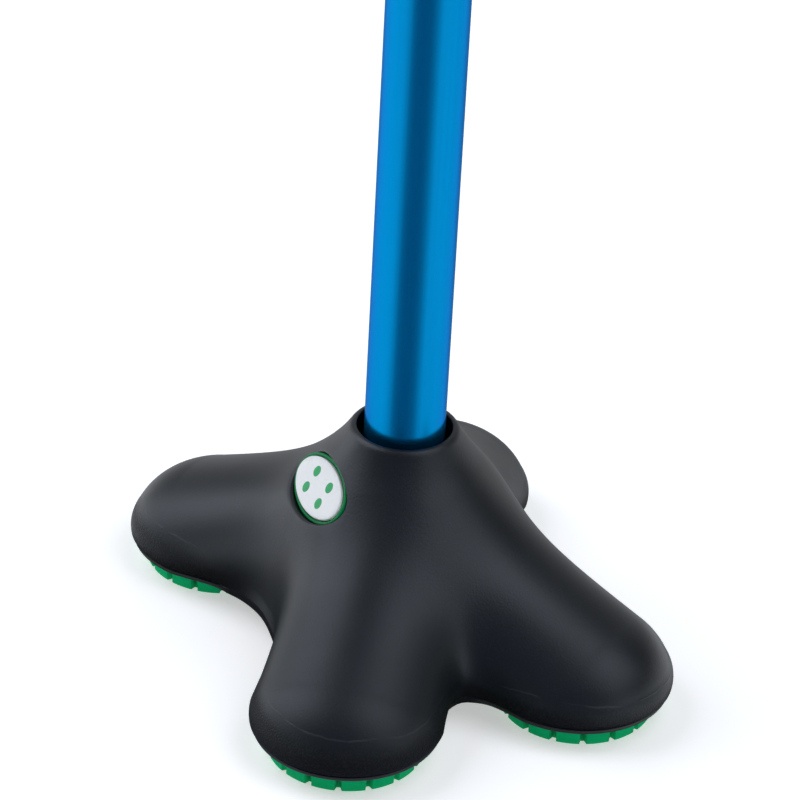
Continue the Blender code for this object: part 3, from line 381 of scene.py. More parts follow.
def make_piece(packed, sheets, finish, sharp=38.0, marks=None, bend=None, name=None):
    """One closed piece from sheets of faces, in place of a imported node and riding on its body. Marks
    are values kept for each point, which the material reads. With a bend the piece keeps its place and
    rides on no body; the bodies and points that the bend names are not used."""
    name = name or packed + "_finish"
    starts = np.cumsum([0] + [len(points) for points, _ in sheets[:-1]])
    points = np.concatenate([points for points, _ in sheets])
    faces = np.concatenate([faces + start for (_, faces), start in zip(sheets, starts)])
    mesh = bpy.data.meshes.new(name)
    mesh.vertices.add(len(points))
    mesh.vertices.foreach_set("co", points.astype(np.float32).ravel())
    mesh.loops.add(faces.size)
    mesh.loops.foreach_set("vertex_index", faces.astype(np.int32).ravel())
    mesh.polygons.add(len(faces))
    mesh.polygons.foreach_set("loop_start", np.arange(0, faces.size, 4, dtype=np.int32))
    mesh.update(calc_edges=True)
    for mark, values in (marks or {}).items():
        kind, field = ("FLOAT", "value") if values.ndim == 1 else ("FLOAT_VECTOR", "vector")
        kept = mesh.attributes.new(mark, kind, "POINT")
        kept.data.foreach_set(field, values.astype(np.float32).ravel())
    form = bmesh.new()
    form.from_mesh(mesh)
    bmesh.ops.remove_doubles(form, verts=form.verts, dist=WELD)
    bmesh.ops.recalc_face_normals(form, faces=form.faces)
    form.to_mesh(mesh)
    form.free()
    mesh.shade_smooth()
    mesh.set_sharp_from_angle(angle=math.radians(sharp))
    mesh.materials.append(finish)
    piece = add(name, mesh)
    if bend:
        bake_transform(piece)
    else:
        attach(piece, BODY_OF[packed])
    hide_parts(packed)
    print(f"{name}: {len(mesh.polygons)} faces")


# %% Outlines and turned shapes


def smooth_step(value, low, high):
    """0 at low, 1 at high, and 3tt - 2ttt of the share t between them."""
    t = np.clip((value - low) / (high - low), 0.0, 1.0)
    return t * t * (3 - 2 * t)


def rounded(outline, radius, closed=True, steps=6):
    """An outline with its corners swept round. Each corner C becomes the curve (1-t)(1-t)A + 2t(1-t)C +
    ttB from a point A on the side before it to a point B on the side after it. An open outline keeps
    its two ends."""
    corner = np.asarray(outline, float)
    ends = []
    for neighbour in (np.roll(corner, 1, axis=0), np.roll(corner, -1, axis=0)):
        side = neighbour - corner
        length = np.linalg.norm(side, axis=1, keepdims=True)
        ends.append(corner + side * np.minimum(radius / np.maximum(length, 1e-9), 0.45))
    start, end = ends
    if not closed:
        start[0], end[0], start[-1], end[-1] = corner[0], corner[0], corner[-1], corner[-1]
    t = np.linspace(0.0, 1.0, steps)[None, :, None]
    curve = (1 - t) ** 2 * start[:, None] + 2 * t * (1 - t) * corner[:, None] + t**2 * end[:, None]
    return curve.reshape(-1, 2)


def arc(across, rise, start, end, steps, centre=(0.0, 0.0)):
    """An ellipse's points between two angles in degrees: centre + (across cos a, rise sin a)."""
    angles = np.radians(np.linspace(start, end, steps))
    return [(centre[0] + across * math.cos(a), centre[1] + rise * math.sin(a)) for a in angles]


def columns_of(rows):
    """The columns of a table, each standing upright so that it can be spread over many turns."""
    return np.asarray(rows, float).T[..., None]


def swept(radius, height, turn):
    """Points at a radius and a height, for each turn about Z."""
    return np.stack([radius * np.cos(turn), radius * np.sin(turn), height + 0.0 * radius * turn], axis=-1)


def spun(outline, steps=96, relief=None):
    """A profile of (radius, height) points carried round Z, in rows and columns. Relief is a function
    of turn, radius and height that is added to the radius."""
    turn = np.linspace(0.0, math.tau, steps, endpoint=False)[None, :]
    radius, height = columns_of(outline)
    if relief is not None:
        radius = radius + relief(turn, radius, height)
    return swept(radius, height, turn)


def turned_piece(packed, outline, finish, radius=0.3 * MM, closed=True, along=(0, 0, 1), origin=(0, 0, 0)):
    """A turned piece whose corners are eased by a radius, its axis laid along a direction."""
    lay = np.array(Vector(along).to_track_quat("Z", "Y").to_matrix())
    points = spun(rounded(outline, radius, closed)) @ lay.T + np.asarray(origin)
    make_piece(packed, [grid(points, join_rows=closed)], finish)


# %% [markdown]
# ## Effects that several materials share
#
# Moulded plastic, rubber and foam are never quite smooth or even. Three small node groups make what
# they have in common: the fine grain that a mould's surface leaves, the slow unevenness that
# handling gives to gloss, and the fine lines that drawing leaves on a metal tube. Each is built once
# and gets its own values in each material.

# %% Shared effects


def effect(name, inputs, outputs, build):
    """A node group with named inputs, a value of None standing for a place, and named outputs. A
    function builds it: it takes the inputs and gives the outputs."""
    tree = bpy.data.node_groups.new(name, "ShaderNodeTree")
    for socket, value in inputs.items():
        kind = "NodeSocketVector" if value is None else "NodeSocketFloat"
        made = tree.interface.new_socket(name=socket, in_out="INPUT", socket_type=kind)
        if value is not None:
            made.default_value = value
    for socket in outputs:
        tree.interface.new_socket(name=socket, in_out="OUTPUT", socket_type="NodeSocketFloat")
    given = tree.nodes.new("NodeGroupInput").outputs
    ends = tree.nodes.new("NodeGroupOutput").inputs
    for socket, value in zip(outputs, build(*(Output(given[socket]) for socket in inputs))):
        feed(ends[socket], value)
    return tree


def mould_grain(place, fineness, unevenness):
    """Small cells broken up by noise, as a height and as a mask of its high spots."""
    cells = node(place.tree, "TexVoronoi", {"Vector": place, "Scale": fineness})
    parts = {0: unevenness, 2: 1.0 - cells, 3: noise(place, fineness, 3.0)}
    height = node(place.tree, "Mix", parts)
    return height, between(height, 0.55, 0.8)


def handling(place, size, low, high):
    """Slow, cloudy unevenness from a low value to a high one, and a mask of faint rubbed marks."""
    clouds = noise(place, size, 4.0, 0.6)
    rubbed = noise(place, size * 9.0, 6.0)
    return between(clouds, 0.3, 0.7) * (high - low) + low, between(rubbed, 0.58, 0.72)


def drawn_lines(place, fineness):
    """Fine lines and wider bands along a tube: noise that is stretched along Z of its place."""
    stretched = node(place.tree, "Mapping", {"Vector": place, "Scale": (1.0, 1.0, 0.008)})
    return noise(stretched, fineness, 2.0), noise(stretched, fineness * 0.12, 2.0)


MOULD_GRAIN = effect(
    "mould_grain", {"Place": None, "Fineness": 1800.0, "Unevenness": 0.5}, ["Height", "Spots"], mould_grain
)
HANDLING = effect(
    "handling", {"Place": None, "Size": 30.0, "Low": 0.4, "High": 0.5}, ["Value", "Marks"], handling
)
DRAWN_LINES = effect("drawn_lines", {"Place": None, "Fineness": 2500.0}, ["Lines", "Bands"], drawn_lines)
print("shared effects:", [group.name for group in (MOULD_GRAIN, HANDLING, DRAWN_LINES)])

# %% What every material does


def use(group, place, **values):
    """A shared effect placed in a material, with its own values."""
    return node(place.tree, "Group", {"Place": place, **values}, node_tree=group)


def mark(tree, name):
    """A mark that the piece carries for each of its points."""
    return node(tree, "Attribute", attribute_name=name)


def blank(name, specular=0.5, follows=None, **fixed):
    """A material with one Principled shader, its fixed values set. Returns it, its shader's inputs and
    the place that its patterns follow, which is a mark if one is named."""
    made = bpy.data.materials.new(name)
    made.use_nodes = True
    shader = made.node_tree.nodes["Principled BSDF"].inputs
    for socket, value in {"Specular IOR Level": specular, **fixed}.items():
        feed(shader[socket.replace("_", " ")], value)
    place = mark(made.node_tree, follows)["Vector"] if follows else object_place(made.node_tree)
    return made, shader, place


def dress(shader, body, roughness, relief, depth):
    """Feeds what varies over every material. The relief's height becomes a normal, its depth given in
    millimetres for its full rise."""
    feed(shader["Base Color"], body)
    feed(shader["Roughness"], roughness)
    feed(shader["Normal"], node(relief.tree, "Bump", {"Height": relief, "Distance": depth * MM}))


# %% [markdown]
# ## The soft black of the base
#
# The base is moulded in a soft black rubbery plastic that feels like an eraser. It is nearly black,
# a little blue in the light, with broad dim highlights and a very fine grain. Low on each toe runs a
# thin, broken, paler line where the mould's two halves met, and below it the skin is rougher and
# darker, down to the bead over the tread. The bead is painted paler, a painted highlight, and the
# groove just above it nearly black, painted shade. The line follows a height over the floor, wavering
# a little, so the material works it out from Object coordinates.

# %% Soft black
SEAM_HEIGHT = 13.4 * MM
SEAM_SLOPE = 0.045  # it lies lower on the left feet
SEAM_WAVER = 1.4 * MM
SEAM_HALF_WIDTH = 0.13 * MM
BELOW_SEAM = (0.3 * MM, -4.0 * MM)  # the darker skin sets in between these heights over the seam
TOE_SKIN = (28.5 * MM, 24.0 * MM)  # distances from a foot between which the toe's skin sets in
BEAD_TOP = 6.24 * MM
BEAD_GROOVE = 0.45 * MM  # width of the painted shade in the groove over the bead
SOFT_SHINE = 0.47
SKIN = ((0.0035, 0.0050, 0.0072), (0.0078, 0.0100, 0.0130))  # between the grain's spots and on them
SKIN_BELOW = ((0.0022, 0.0030, 0.0036), (0.0090, 0.0110, 0.0128))
SPECKLES = (0.017, 0.020, 0.023)
# Painted shade for the groove over the bead, and a painted highlight for the bead itself
GROOVE_PAINTED_SHADE = (0.0004, 0.0005, 0.0006)
BEAD_PAINTED_HIGHLIGHT = (0.032, 0.036, 0.038)
SEAM_GREY = (0.045, 0.048, 0.052)


def soft_black():
    made, shader, place = blank("soft_black", Specular_Tint=(0.86, 0.93, 1.0))
    grain = use(MOULD_GRAIN, place, Fineness=1700.0, Unevenness=0.65)
    cloud = use(HANDLING, place, Size=26.0, Low=0.38, High=0.46)
    spot = node(place.tree, "SeparateXYZ", {0: place})
    height = spot["Z"]
    folded = node(place.tree, "VectorMath", {0: place}, operation="ABSOLUTE")
    foot = tuple(np.abs(middle("tread_front_left")) * (1.0, 1.0, 0.0))
    from_foot = node(place.tree, "VectorMath", {0: folded, 1: foot}, operation="DISTANCE")["Value"]
    on_toe = between(from_foot, *TOE_SKIN)
    waver = noise(place, 75.0, 5.0) * (SEAM_WAVER * 2) - (SEAM_HEIGHT + SEAM_WAVER)
    off_seam = height + (spot["Y"] * SEAM_SLOPE + waver)
    above_bead = between(height, BEAD_TOP - 0.3 * MM, BEAD_TOP + 0.1 * MM)
    below = between(off_seam, *BELOW_SEAM) * (on_toe * above_bead)
    line = between(math_of("ABSOLUTE", off_seam), SEAM_HALF_WIDTH * 2, SEAM_HALF_WIDTH * 0.5)
    line = line * between(noise(place, 130.0, 6.0), 0.42, 0.58) * on_toe
    coarse = noise(place, 2300.0, 4.0)
    speckle = below * between(coarse, 0.47, 0.62)
    # On the toes the groove over the bead gets painted shade and the bead a painted highlight
    groove = between(height, BEAD_TOP + BEAD_GROOVE, BEAD_TOP + BEAD_GROOVE * 0.5) * on_toe
    bead = between(height, BEAD_TOP + 0.05 * MM, BEAD_TOP - 0.1 * MM) * on_toe
    body = colours(below, colours(grain["Spots"], *SKIN), colours(grain["Spots"], *SKIN_BELOW))
    body = colours(speckle * 0.3, body, SPECKLES)
    # painted shade in the groove, then the painted highlight on the bead
    body = colours(groove * 0.9, body, GROOVE_PAINTED_SHADE)
    body = colours(bead, body, BEAD_PAINTED_HIGHLIGHT)
    body = colours(line * 0.32, body, SEAM_GREY)
    feed(shader["Specular IOR Level"], below * -0.2 + SOFT_SHINE)
    relief = line * 1.5 + (below * coarse * 7.0 + grain["Height"])
    dress(shader, body, below * 0.12 + cloud["Value"], relief, 0.035)
    return made


SOFT_BLACK = soft_black()

# %% [markdown]
# ## The other materials
#
# The treads are matt green rubber, a shade greyer at their worn edges. The tubes are aluminium that
# was drawn, brushed and anodised blue: the metal stays metal under a clear blue skin, so its colour
# is in the reflection, with fine lines along the tube. On the bent upper tube the lines follow the
# bend, so the material reads a mark that holds each point's place on the tube before it was bent.
# The rest are moulded plastics, nylon, plated steel and the soft closed-cell foam of the grip.

# %% Green rubber and blue anodised aluminium


def green_rubber():
    """The notches get darker inwards, painted shade, and the blocks' worn edges are scuffed."""
    made, shader, place = blank("green_rubber", 0.04)
    grain = use(MOULD_GRAIN, place, Fineness=2600.0, Unevenness=0.8)
    cloud = use(HANDLING, place, Size=60.0, Low=0.55, High=0.68)
    scuffs = mark(place.tree, "worn_edge")["Fac"] * between(grain["Height"], 0.35, 0.75)
    body = colours(cloud["Marks"], (0.001, 0.480, 0.165), (0.001, 0.430, 0.147))
    body = colours(scuffs * 0.35, body, (0.025, 0.50, 0.24))
    # painted shade: the upper part of each notch is painted nearly black
    body = colours(mark(place.tree, "notch_painted_shade")["Fac"] * 0.95, body, (0.0006, 0.010, 0.005))
    dress(shader, body, scuffs * 0.15 + cloud["Value"], grain["Height"], 0.03)
    return made


def blue_anodised():
    made, shader, place = blank(
        "blue_anodised", 0.05, "straightened", Metallic=0.86, Specular_Tint=(0.02, 0.45, 0.85)
    )
    drawn = use(DRAWN_LINES, place, Fineness=5200.0)
    cloud = use(HANDLING, place, Size=14.0, Low=0.20, High=0.235)
    body = colours(between(drawn["Bands"], 0.35, 0.65), (0.001, 0.238, 0.548), (0.001, 0.250, 0.572))
    body = colours(cloud["Marks"] * 0.06, body, (0.002, 0.20, 0.46))
    lines = between(drawn["Lines"], 0.3, 0.7, -0.015, 0.015)
    dress(shader, body, cloud["Value"] + lines, drawn["Lines"], 0.0015)
    return made


GREEN_RUBBER = green_rubber()
BLUE_ANODISED = blue_anodised()

# %% Moulded plastics


def moulded(name, dark, light, rough, fineness, depth, specular=0.45):
    """A moulded plastic: two close colours in its grain, uneven gloss, a fine relief."""
    made, shader, place = blank(name, specular)
    grain = use(MOULD_GRAIN, place, Fineness=fineness, Unevenness=0.6)
    cloud = use(HANDLING, place, Size=45.0, Low=rough - 0.04, High=rough + 0.05)
    body = colours(grain["Spots"], dark, light)
    dress(shader, body, cloud["Marks"] * 0.04 + cloud["Value"], grain["Height"], depth)
    return made


STIFF_BLACK = moulded("stiff_black", (0.022, 0.022, 0.024), (0.030, 0.030, 0.032), 0.42, 2200.0, 0.02)
GREY_PLASTIC = moulded("grey_plastic", (0.120, 0.122, 0.128), (0.150, 0.152, 0.158), 0.40, 2000.0, 0.02)
NYLON = moulded("nylon", (0.66, 0.65, 0.60), (0.72, 0.71, 0.67), 0.48, 1600.0, 0.015)
SLEEVE_BLACK = moulded("sleeve_black", (0.012, 0.012, 0.013), (0.018, 0.018, 0.019), 0.6, 1500.0, 0.02)
BADGE_GREEN = moulded("badge_green", (0.001, 0.220, 0.062), (0.001, 0.245, 0.072), 0.34, 900.0, 0.004, 0.12)

# %% Steel and foam


def steel():
    """Plated steel, whose gloss clouds and is crossed by a few fine scratches."""
    made, shader, place = blank("plated_steel", Metallic=1.0)
    cloud = use(HANDLING, place, Size=150.0, Low=0.20, High=0.32)
    scratch = noise(place, 1500.0, 2.0, 2.0)
    fine = between(scratch, 0.62, 0.70)
    body = colours(fine, (0.60, 0.60, 0.61), (0.70, 0.70, 0.71))
    dress(shader, body, fine * 0.12 + cloud["Value"], scratch, 0.004)
    return made


def grip_foam():
    """Closed-cell foam with a fine skin: shallow open pores and a dull, slightly dusty black."""
    made, shader, place = blank("grip_foam", 0.3, Sheen_Weight=0.12, Sheen_Roughness=0.5)
    cloud = use(HANDLING, place, Size=35.0, Low=0.68, High=0.80)
    pore = between(node(place.tree, "TexVoronoi", {"Vector": place, "Scale": 1500.0}), 0.32, 0.12)
    body = colours(pore, (0.026, 0.026, 0.028), (0.010, 0.010, 0.011))
    body = colours(cloud["Marks"] * 0.25, body, (0.040, 0.040, 0.042))
    dress(shader, body, cloud["Value"], 1.0 - pore, 0.06)
    return made


STEEL = steel()
GRIP_FOAM = grip_foam()

# %% Badge face
DOT_PLACE = (3.9 * MM, 2.3 * MM, 0.0)  # along and across the badge
DOT_RADIUS = 1.35 * MM
DOT_EDGE = 0.05 * MM


def badge_print():
    """White enamel with four plain green dots, one for each foot, placed by the badge's own lengthwise
    and crosswise distances, which the piece carries as a mark."""
    made, shader, place = blank("badge_print", 0.2, Coat_Weight=0.04, Coat_Roughness=0.12)
    spot = mark(place.tree, "badge_place")["Vector"]
    folded = node(place.tree, "VectorMath", {0: spot}, operation="ABSOLUTE")
    far = node(place.tree, "VectorMath", {0: folded, 1: DOT_PLACE}, operation="DISTANCE")["Value"]
    printed = between(far, DOT_RADIUS + DOT_EDGE, DOT_RADIUS - DOT_EDGE)
    cloud = use(HANDLING, place, Size=90.0, Low=0.24, High=0.32)
    grain = use(MOULD_GRAIN, place, Fineness=700.0, Unevenness=0.9)
    white_ink = colours(cloud["Marks"], (0.91, 0.935, 0.93), (0.89, 0.915, 0.91))
    body = colours(printed, white_ink, (0.001, 0.385, 0.112))
    dress(shader, body, cloud["Value"], printed * 2.0 + grain["Height"], 0.003)
    return made


BADGE_PRINT = badge_print()
print(len(bpy.data.materials), "materials")

# %% [markdown]
# ## The form of the base
#
# The base looks poured: a flared neck and four legs with round toes, all melting into each other. A
# form like that is easier to describe by depth than by outline. For every point there is a number
# that says about how far outside the form it lies. The neck gives one such number, each leg another,
# and a soft minimum joins them with rounded valleys. Rays from the middle of the form then find
# where the number is nought, and those points are the skin.

# %% Sizes of the base
GAP = 0.3 * MM  # between neighbouring pieces
FOOT_AHEAD, FOOT_ASIDE, _ = np.abs(middle("tread_front_left"))
FOOT_DISTANCE = math.hypot(FOOT_AHEAD, FOOT_ASIDE)
RIM_HEIGHT = highest("base_shell")[2]
LOWER_TUBE_RADIUS = highest("lower_tube")[0]
RIM_BORE = LOWER_TUBE_RADIUS + 1.7 * MM
NECK_RADIUS = RIM_BORE + 0.5 * MM
NECK_FLARE = 0.43  # growth of the neck's radius for each unit of height below the rim
NECK_BLEND = 6.3 * MM
LEG_ROOT_REACH = 8.9 * MM
LEG_ROOT_HEIGHT = 30.0 * MM
LEG_ROOT_RADIUS = 15.8 * MM
LEG_BLEND = 5.6 * MM
LEG_FLATNESS = 1.3  # a leg is this much wider than it is high
TOE_REACH = 0.2 * MM
TOE_HEIGHT = 6.6 * MM
TOE_RADIUS = 22.2 * MM
WAIST_HEIGHT = 12.2 * MM  # below this height the toes draw in towards the treads
WAIST_TAPER = 1.48
SHELL_WALL = 2.4 * MM
print("feet at", round(FOOT_AHEAD / MM, 1), round(FOOT_ASIDE / MM, 1), "rim at", round(RIM_HEIGHT / MM, 1))

# %% Depth of the form


def soft_least(distances, blend):
    """About the least of several distances, rounded where two are alike: -b ln(sum of exp(-d / b))."""
    return -blend * np.log(sum(np.exp(-distance / blend) for distance in distances))


def form_depth(points):
    """About how far each point lies outside the base's form, negative inside it. The neck is a cone
    about Z. A leg is a thick line from a root to a toe, flattened, its radius growing on the way. The
    form is the same on both sides, so points are folded over and the far leg is left out."""
    place = np.concatenate([np.abs(points[..., :2]), points[..., 2:]], axis=-1)
    low = np.minimum(place[..., 2] - WAIST_HEIGHT, 0.0)
    place[..., 2] += low * (WAIST_TAPER - 1.0)
    radius = np.hypot(place[..., 0], place[..., 1])
    neck = radius - NECK_RADIUS - NECK_FLARE * (RIM_HEIGHT - place[..., 2])
    legs = []
    for ahead, aside in ((1, 1), (1, -1), (-1, 1)):
        way = np.array([FOOT_AHEAD * ahead, FOOT_ASIDE * aside]) / FOOT_DISTANCE
        root = np.array([*(way * LEG_ROOT_REACH), LEG_ROOT_HEIGHT])
        spine = np.array([*(way * (FOOT_DISTANCE + TOE_REACH)), TOE_HEIGHT]) - root
        share = np.clip((place - root) @ spine / (spine @ spine), 0.0, 1.0)
        off = (place - root - share[..., None] * spine) * (1.0, 1.0, LEG_FLATNESS)
        thickness = LEG_ROOT_RADIUS + (TOE_RADIUS - LEG_ROOT_RADIUS) * share
        legs.append(np.sqrt((off**2).sum(axis=-1)) - thickness)
    return soft_least([neck / math.hypot(1.0, NECK_FLARE), soft_least(legs, LEG_BLEND)], NECK_BLEND)


# %% Rays that find the skin
HEART = np.array([0.0, 0.0, 10.0 * MM])  # the rays start here, on the shaft's axis
REACHES = np.linspace(95.0 * MM, 6.0 * MM, 24)  # distances tried, from outside any part to inside all
HALVINGS = 13


def skin_points(turn, lift, form):
    """Where rays from the heart, turned about Z and lifted above the horizon, leave a form. The way is
    first searched in coarse steps from outside, then halved until the skin is found."""
    flat = np.cos(lift)
    way = np.stack([np.cos(turn) * flat, np.sin(turn) * flat, np.sin(lift) + 0.0 * turn], axis=-1)
    far = np.full(way.shape[:-1], REACHES[0])
    searching = np.ones(far.shape, bool)
    for reach in REACHES[1:]:
        searching &= form(HEART + way * reach) > 0
        far = np.where(searching, reach, far)
    near = far - (REACHES[0] - REACHES[1])
    for _ in range(HALVINGS):
        half = (far + near) / 2
        inside = form(HEART + way * half[..., None]) < 0
        near, far = np.where(inside, half, near), np.where(inside, far, half)
    return HEART + way * ((far + near) / 2)[..., None]


def slope_of(form, points, step=0.05 * MM):
    """The direction in which a form's depth grows fastest, as unit vectors."""
    slope = np.stack([form(points + step * axis) - form(points - step * axis) for axis in np.eye(3)], axis=-1)
    return slope / np.linalg.norm(slope, axis=-1, keepdims=True)


# %% [markdown]
# The oval badge lies flat in the base's curved right side, so it has a plane of its own: a centre on
# the skin, one axis along the cane, one up the slope and one outwards. It stands a little turned
# against the skin, its top out and its lower edge in. The shell is thicker behind it.

# %% Where the badge sits
BADGE_LENGTH = 25.0 * MM
BADGE_WIDTH = 14.5 * MM
BADGE_LIFT = math.radians(56.4)
BADGE_BACK = math.radians(2.4)  # it sits a little nearer the rear legs than the front ones
BADGE_TILT = math.radians(2.5)
BADGE_BOSS = 3.0 * MM
BOSS_SPREAD = 0.75

badge_centre = skin_points(np.array(-math.pi / 2 - BADGE_BACK), np.array(BADGE_LIFT), form_depth)
badge_sideways = np.array([1.0, 0.0, 0.0])
badge_outward = slope_of(form_depth, badge_centre) * (0.0, 1.0, 1.0)
badge_outward /= np.linalg.norm(badge_outward)
badge_upward = np.cross(badge_outward, badge_sideways)
badge_outward = badge_outward * math.cos(BADGE_TILT) - badge_upward * math.sin(BADGE_TILT)
BADGE_AXES = np.stack([badge_sideways, np.cross(badge_outward, badge_sideways), badge_outward])


def badge_place(points):
    """Each point's distances along, across and out of the badge."""
    return (points - badge_centre) @ BADGE_AXES.T


def from_badge(flat, out):
    """Points from their distances along and across the badge, and out of it."""
    return badge_centre + np.concatenate([flat, (out + 0.0 * flat[..., 0])[..., None]], axis=-1) @ BADGE_AXES


def inner_depth(points):
    """The depth of the shell's inner skin: one wall deeper, and deeper still behind the badge, by a
    share exp(-s s) of the distance s from its middle over the boss's size, itself squared."""
    along, across, _ = np.moveaxis(badge_place(points), -1, 0)
    spread = (along / (BADGE_LENGTH * BOSS_SPREAD)) ** 2 + (across / (BADGE_WIDTH * BOSS_SPREAD)) ** 2
    return form_depth(points) + SHELL_WALL + BADGE_BOSS * np.exp(-(spread**2)) * (points[..., 1] < 0)


print("badge at, mm:", np.round(badge_centre / MM, 1), "facing", np.round(badge_outward, 2))

# %% [markdown]
# ## The base's skin as upright lines
#
# The skin is laid out in lines that climb from the lower edge to the rim. Where rays meet the skin at
# a slant their hits lie far apart, so each line is traced twice: a rough trace measures the way along
# the line, and the second uses the lifts that space its points evenly.

# %% Upright lines
BASE_COLUMNS = 400
OUTER_ROWS = 150
INNER_ROWS = 22
ROUGH_LIFTS = np.radians(np.linspace(-16.0, 79.0, 120))
LIP_HEIGHT = 4.8 * MM
ARCH_RISE = 11.6 * MM
ARCH_RUN = 29.0 * MM
ARCH_START = 19.0 * MM
ARCH_SOFTNESS = 7.0 * MM
BEAD_HEIGHT = 2.2 * MM
RIM_ROUNDING = 1.0 * MM
RIM_LIP = 0.35 * MM


def edge_height(points):
    """Height of the lower edge: level round each tread, climbing between the legs as d d / (d d + r r).
    The softened distances sqrt(x x + s s) keep the top of each arch round."""
    ahead, aside = (np.sqrt(points[..., axis] ** 2 + ARCH_SOFTNESS**2) for axis in (0, 1))
    past = np.maximum(np.hypot(ahead - FOOT_AHEAD, aside - FOOT_ASIDE) - ARCH_START, 0.0)
    return LIP_HEIGHT + ARCH_RISE * past**2 / (past**2 + ARCH_RUN**2)


def ways_along(points):
    """How far each point lies along its line, from the line's start."""
    steps = np.linalg.norm(np.diff(points, axis=-2), axis=-1)
    return np.concatenate([0.0 * steps[..., :1], np.cumsum(steps, axis=-1)], axis=-1)


def even_turns(count):
    """Directions about Z that space the points of the toes' widest section evenly."""
    dense = np.linspace(0.0, math.tau, 2401)
    way = ways_along(skin_points(dense, 0.0 * dense, form_depth))
    return np.interp(np.linspace(0.0, way[-1], count, endpoint=False), way, dense)


def upright_lines(form, rows, past_start, past_end):
    """Evenly spaced points up a form, from where one measure passes nought to where another does."""
    rough = skin_points(TURNS[:, None], ROUGH_LIFTS[None, :], form)
    start, end = (np.maximum.accumulate(past(rough), axis=1) for past in (past_start, past_end))
    wanted = []
    for way, begins, stops in zip(ways_along(rough), start, end):
        first, last = np.interp(0.0, begins, way), np.interp(0.0, stops, way)
        wanted.append(np.interp(np.linspace(first, last, rows), way, ROUGH_LIFTS))
    return skin_points(TURNS[:, None], np.array(wanted), form)


TURNS = even_turns(BASE_COLUMNS)
outer = upright_lines(
    form_depth,
    OUTER_ROWS,
    lambda points: points[..., 2] - edge_height(points) - BEAD_HEIGHT,
    lambda points: points[..., 2] - (RIM_HEIGHT - RIM_ROUNDING),
)
inner = upright_lines(
    inner_depth,
    INNER_ROWS,
    lambda points: points[..., 2] - edge_height(points),
    lambda points: RIM_BORE - np.hypot(points[..., 0], points[..., 1]),
)
print("lines:", outer.shape, inner.shape)

# %% [markdown]
# ## The base shell
#
# Over each tread the shell ends in a thin bead with a groove above it, which the photograph shows
# well; the material paints the groove dark as painted shade and the bead paler as a painted highlight.
# Between the legs the bead dies away and the edge is a plain thin skirt. At the top the wall rolls over
# into the bore round the tube. All of this goes on in the same columns as the two skins, so the shell
# is one closed grid.

# %% Lower edge and rim
EDGE_PROFILE = (
    # inwards and above the edge in millimetres, with the bead and then where it has died away
    (0.15, 2.06, 0.00, 2.06),
    (0.50, 1.98, 0.00, 1.98),
    (1.05, 1.88, 0.00, 1.88),
    (1.35, 1.72, 0.00, 1.72),
    (1.32, 1.56, 0.00, 1.56),
    (1.08, 1.42, 0.00, 1.42),
    (0.85, 1.30, 0.00, 1.30),
    (0.72, 1.12, 0.00, 1.12),
    (0.68, 0.86, 0.00, 0.86),
    (0.71, 0.60, 0.00, 0.60),
    (0.84, 0.38, 0.00, 0.30),
    (1.10, 0.24, 0.15, 0.08),
    (1.50, 0.20, 0.50, 0.00),
)
BEAD_FULL, BEAD_GONE = 22.5 * MM, 27.0 * MM  # distances from a foot's centre
RIM_BEND = 0.45
ROLL_STEPS = 7


def bead_rows():
    """Rows below the outer skin: whole times the bead's profile plus (1 - whole) times the plain edge's."""
    foot = outer[:, 0]
    outward = slope_of(form_depth, foot) * (1.0, 1.0, 0.0)
    outward /= np.linalg.norm(outward, axis=-1, keepdims=True)
    from_foot = np.hypot(np.abs(foot[:, 0]) - FOOT_AHEAD, np.abs(foot[:, 1]) - FOOT_ASIDE)
    whole = smooth_step(from_foot, BEAD_GONE, BEAD_FULL)
    rows = []
    for inwards, height, plain_inwards, plain_height in np.array(EDGE_PROFILE) * MM:
        row = foot - outward * (plain_inwards + (inwards - plain_inwards) * whole)[:, None]
        row[:, 2] += plain_height + (height - plain_height) * whole - BEAD_HEIGHT
        rows.append(row)
    return rows[::-1]


def rim_rows():
    """The wall's roll over the rim into the bore: first up to the crown, the height and the radius each
    the curve (1-t)(1-t)A + 2t(1-t)B + ttC, then a quarter circle, then down to the inner skin."""
    start = np.hypot(outer[:, -1, 0], outer[:, -1, 1])
    crown = RIM_BORE + RIM_LIP
    bend = start - (start - crown) * RIM_BEND
    radii, levels = [], []
    for t in np.linspace(0.0, 1.0, ROLL_STEPS)[1:]:
        radii.append((1 - t) ** 2 * start + 2 * t * (1 - t) * bend + t * t * crown)
        levels.append(RIM_HEIGHT - RIM_ROUNDING * (1 - t) ** 2)
    for angle in np.linspace(0.0, math.pi / 2, ROLL_STEPS)[1:]:
        radii.append(crown - RIM_LIP * math.sin(angle))
        levels.append(RIM_HEIGHT - RIM_LIP * (1 - math.cos(angle)))
    for share in (0.25, 0.5, 0.75):
        radii.append(RIM_BORE)
        levels.append((RIM_HEIGHT - RIM_LIP) * (1 - share) + inner[:, -1, 2] * share)
    return [swept(radius + 0.0 * TURNS, height, TURNS) for radius, height in zip(radii, levels)]


# %% [markdown]
# The badge sits in a pocket, which needs an oval edge that no row or column follows, so a part of the
# grid is left out and a patch takes its place. The patch goes in rings from the gap's border to the
# oval, keeping to the skin all the way: a ring's places are measured in the badge's own plane, and each
# point is lifted from there onto the skin. At the oval the skin rolls over a soft edge, wider at the
# lower left as the photograph shows, and drops to the pocket's floor.

# %% Badge pocket
POCKET_FLOOR = -3.7 * MM
POCKET_PLAY = 0.2 * MM
POCKET_REACH = 15.0 * MM  # the skin is this near the badge's plane wherever the patch goes
PATCH_MARGIN = 4.5 * MM
PATCH_STEPS = 10
EDGE_STEPS = 8
EDGE_DROP = 0.8  # how deep the edge rolls over for its width
EDGE_NARROW = 0.45 * MM
EDGE_WIDE = 1.5 * MM
EDGE_TOWARDS = math.radians(215.0)  # the wide side, counted from the badge's length towards its top
SKIN_SEARCH = (-14.0 * MM, 4.0 * MM)  # out of the badge's plane
SKIN_HALVINGS = 22


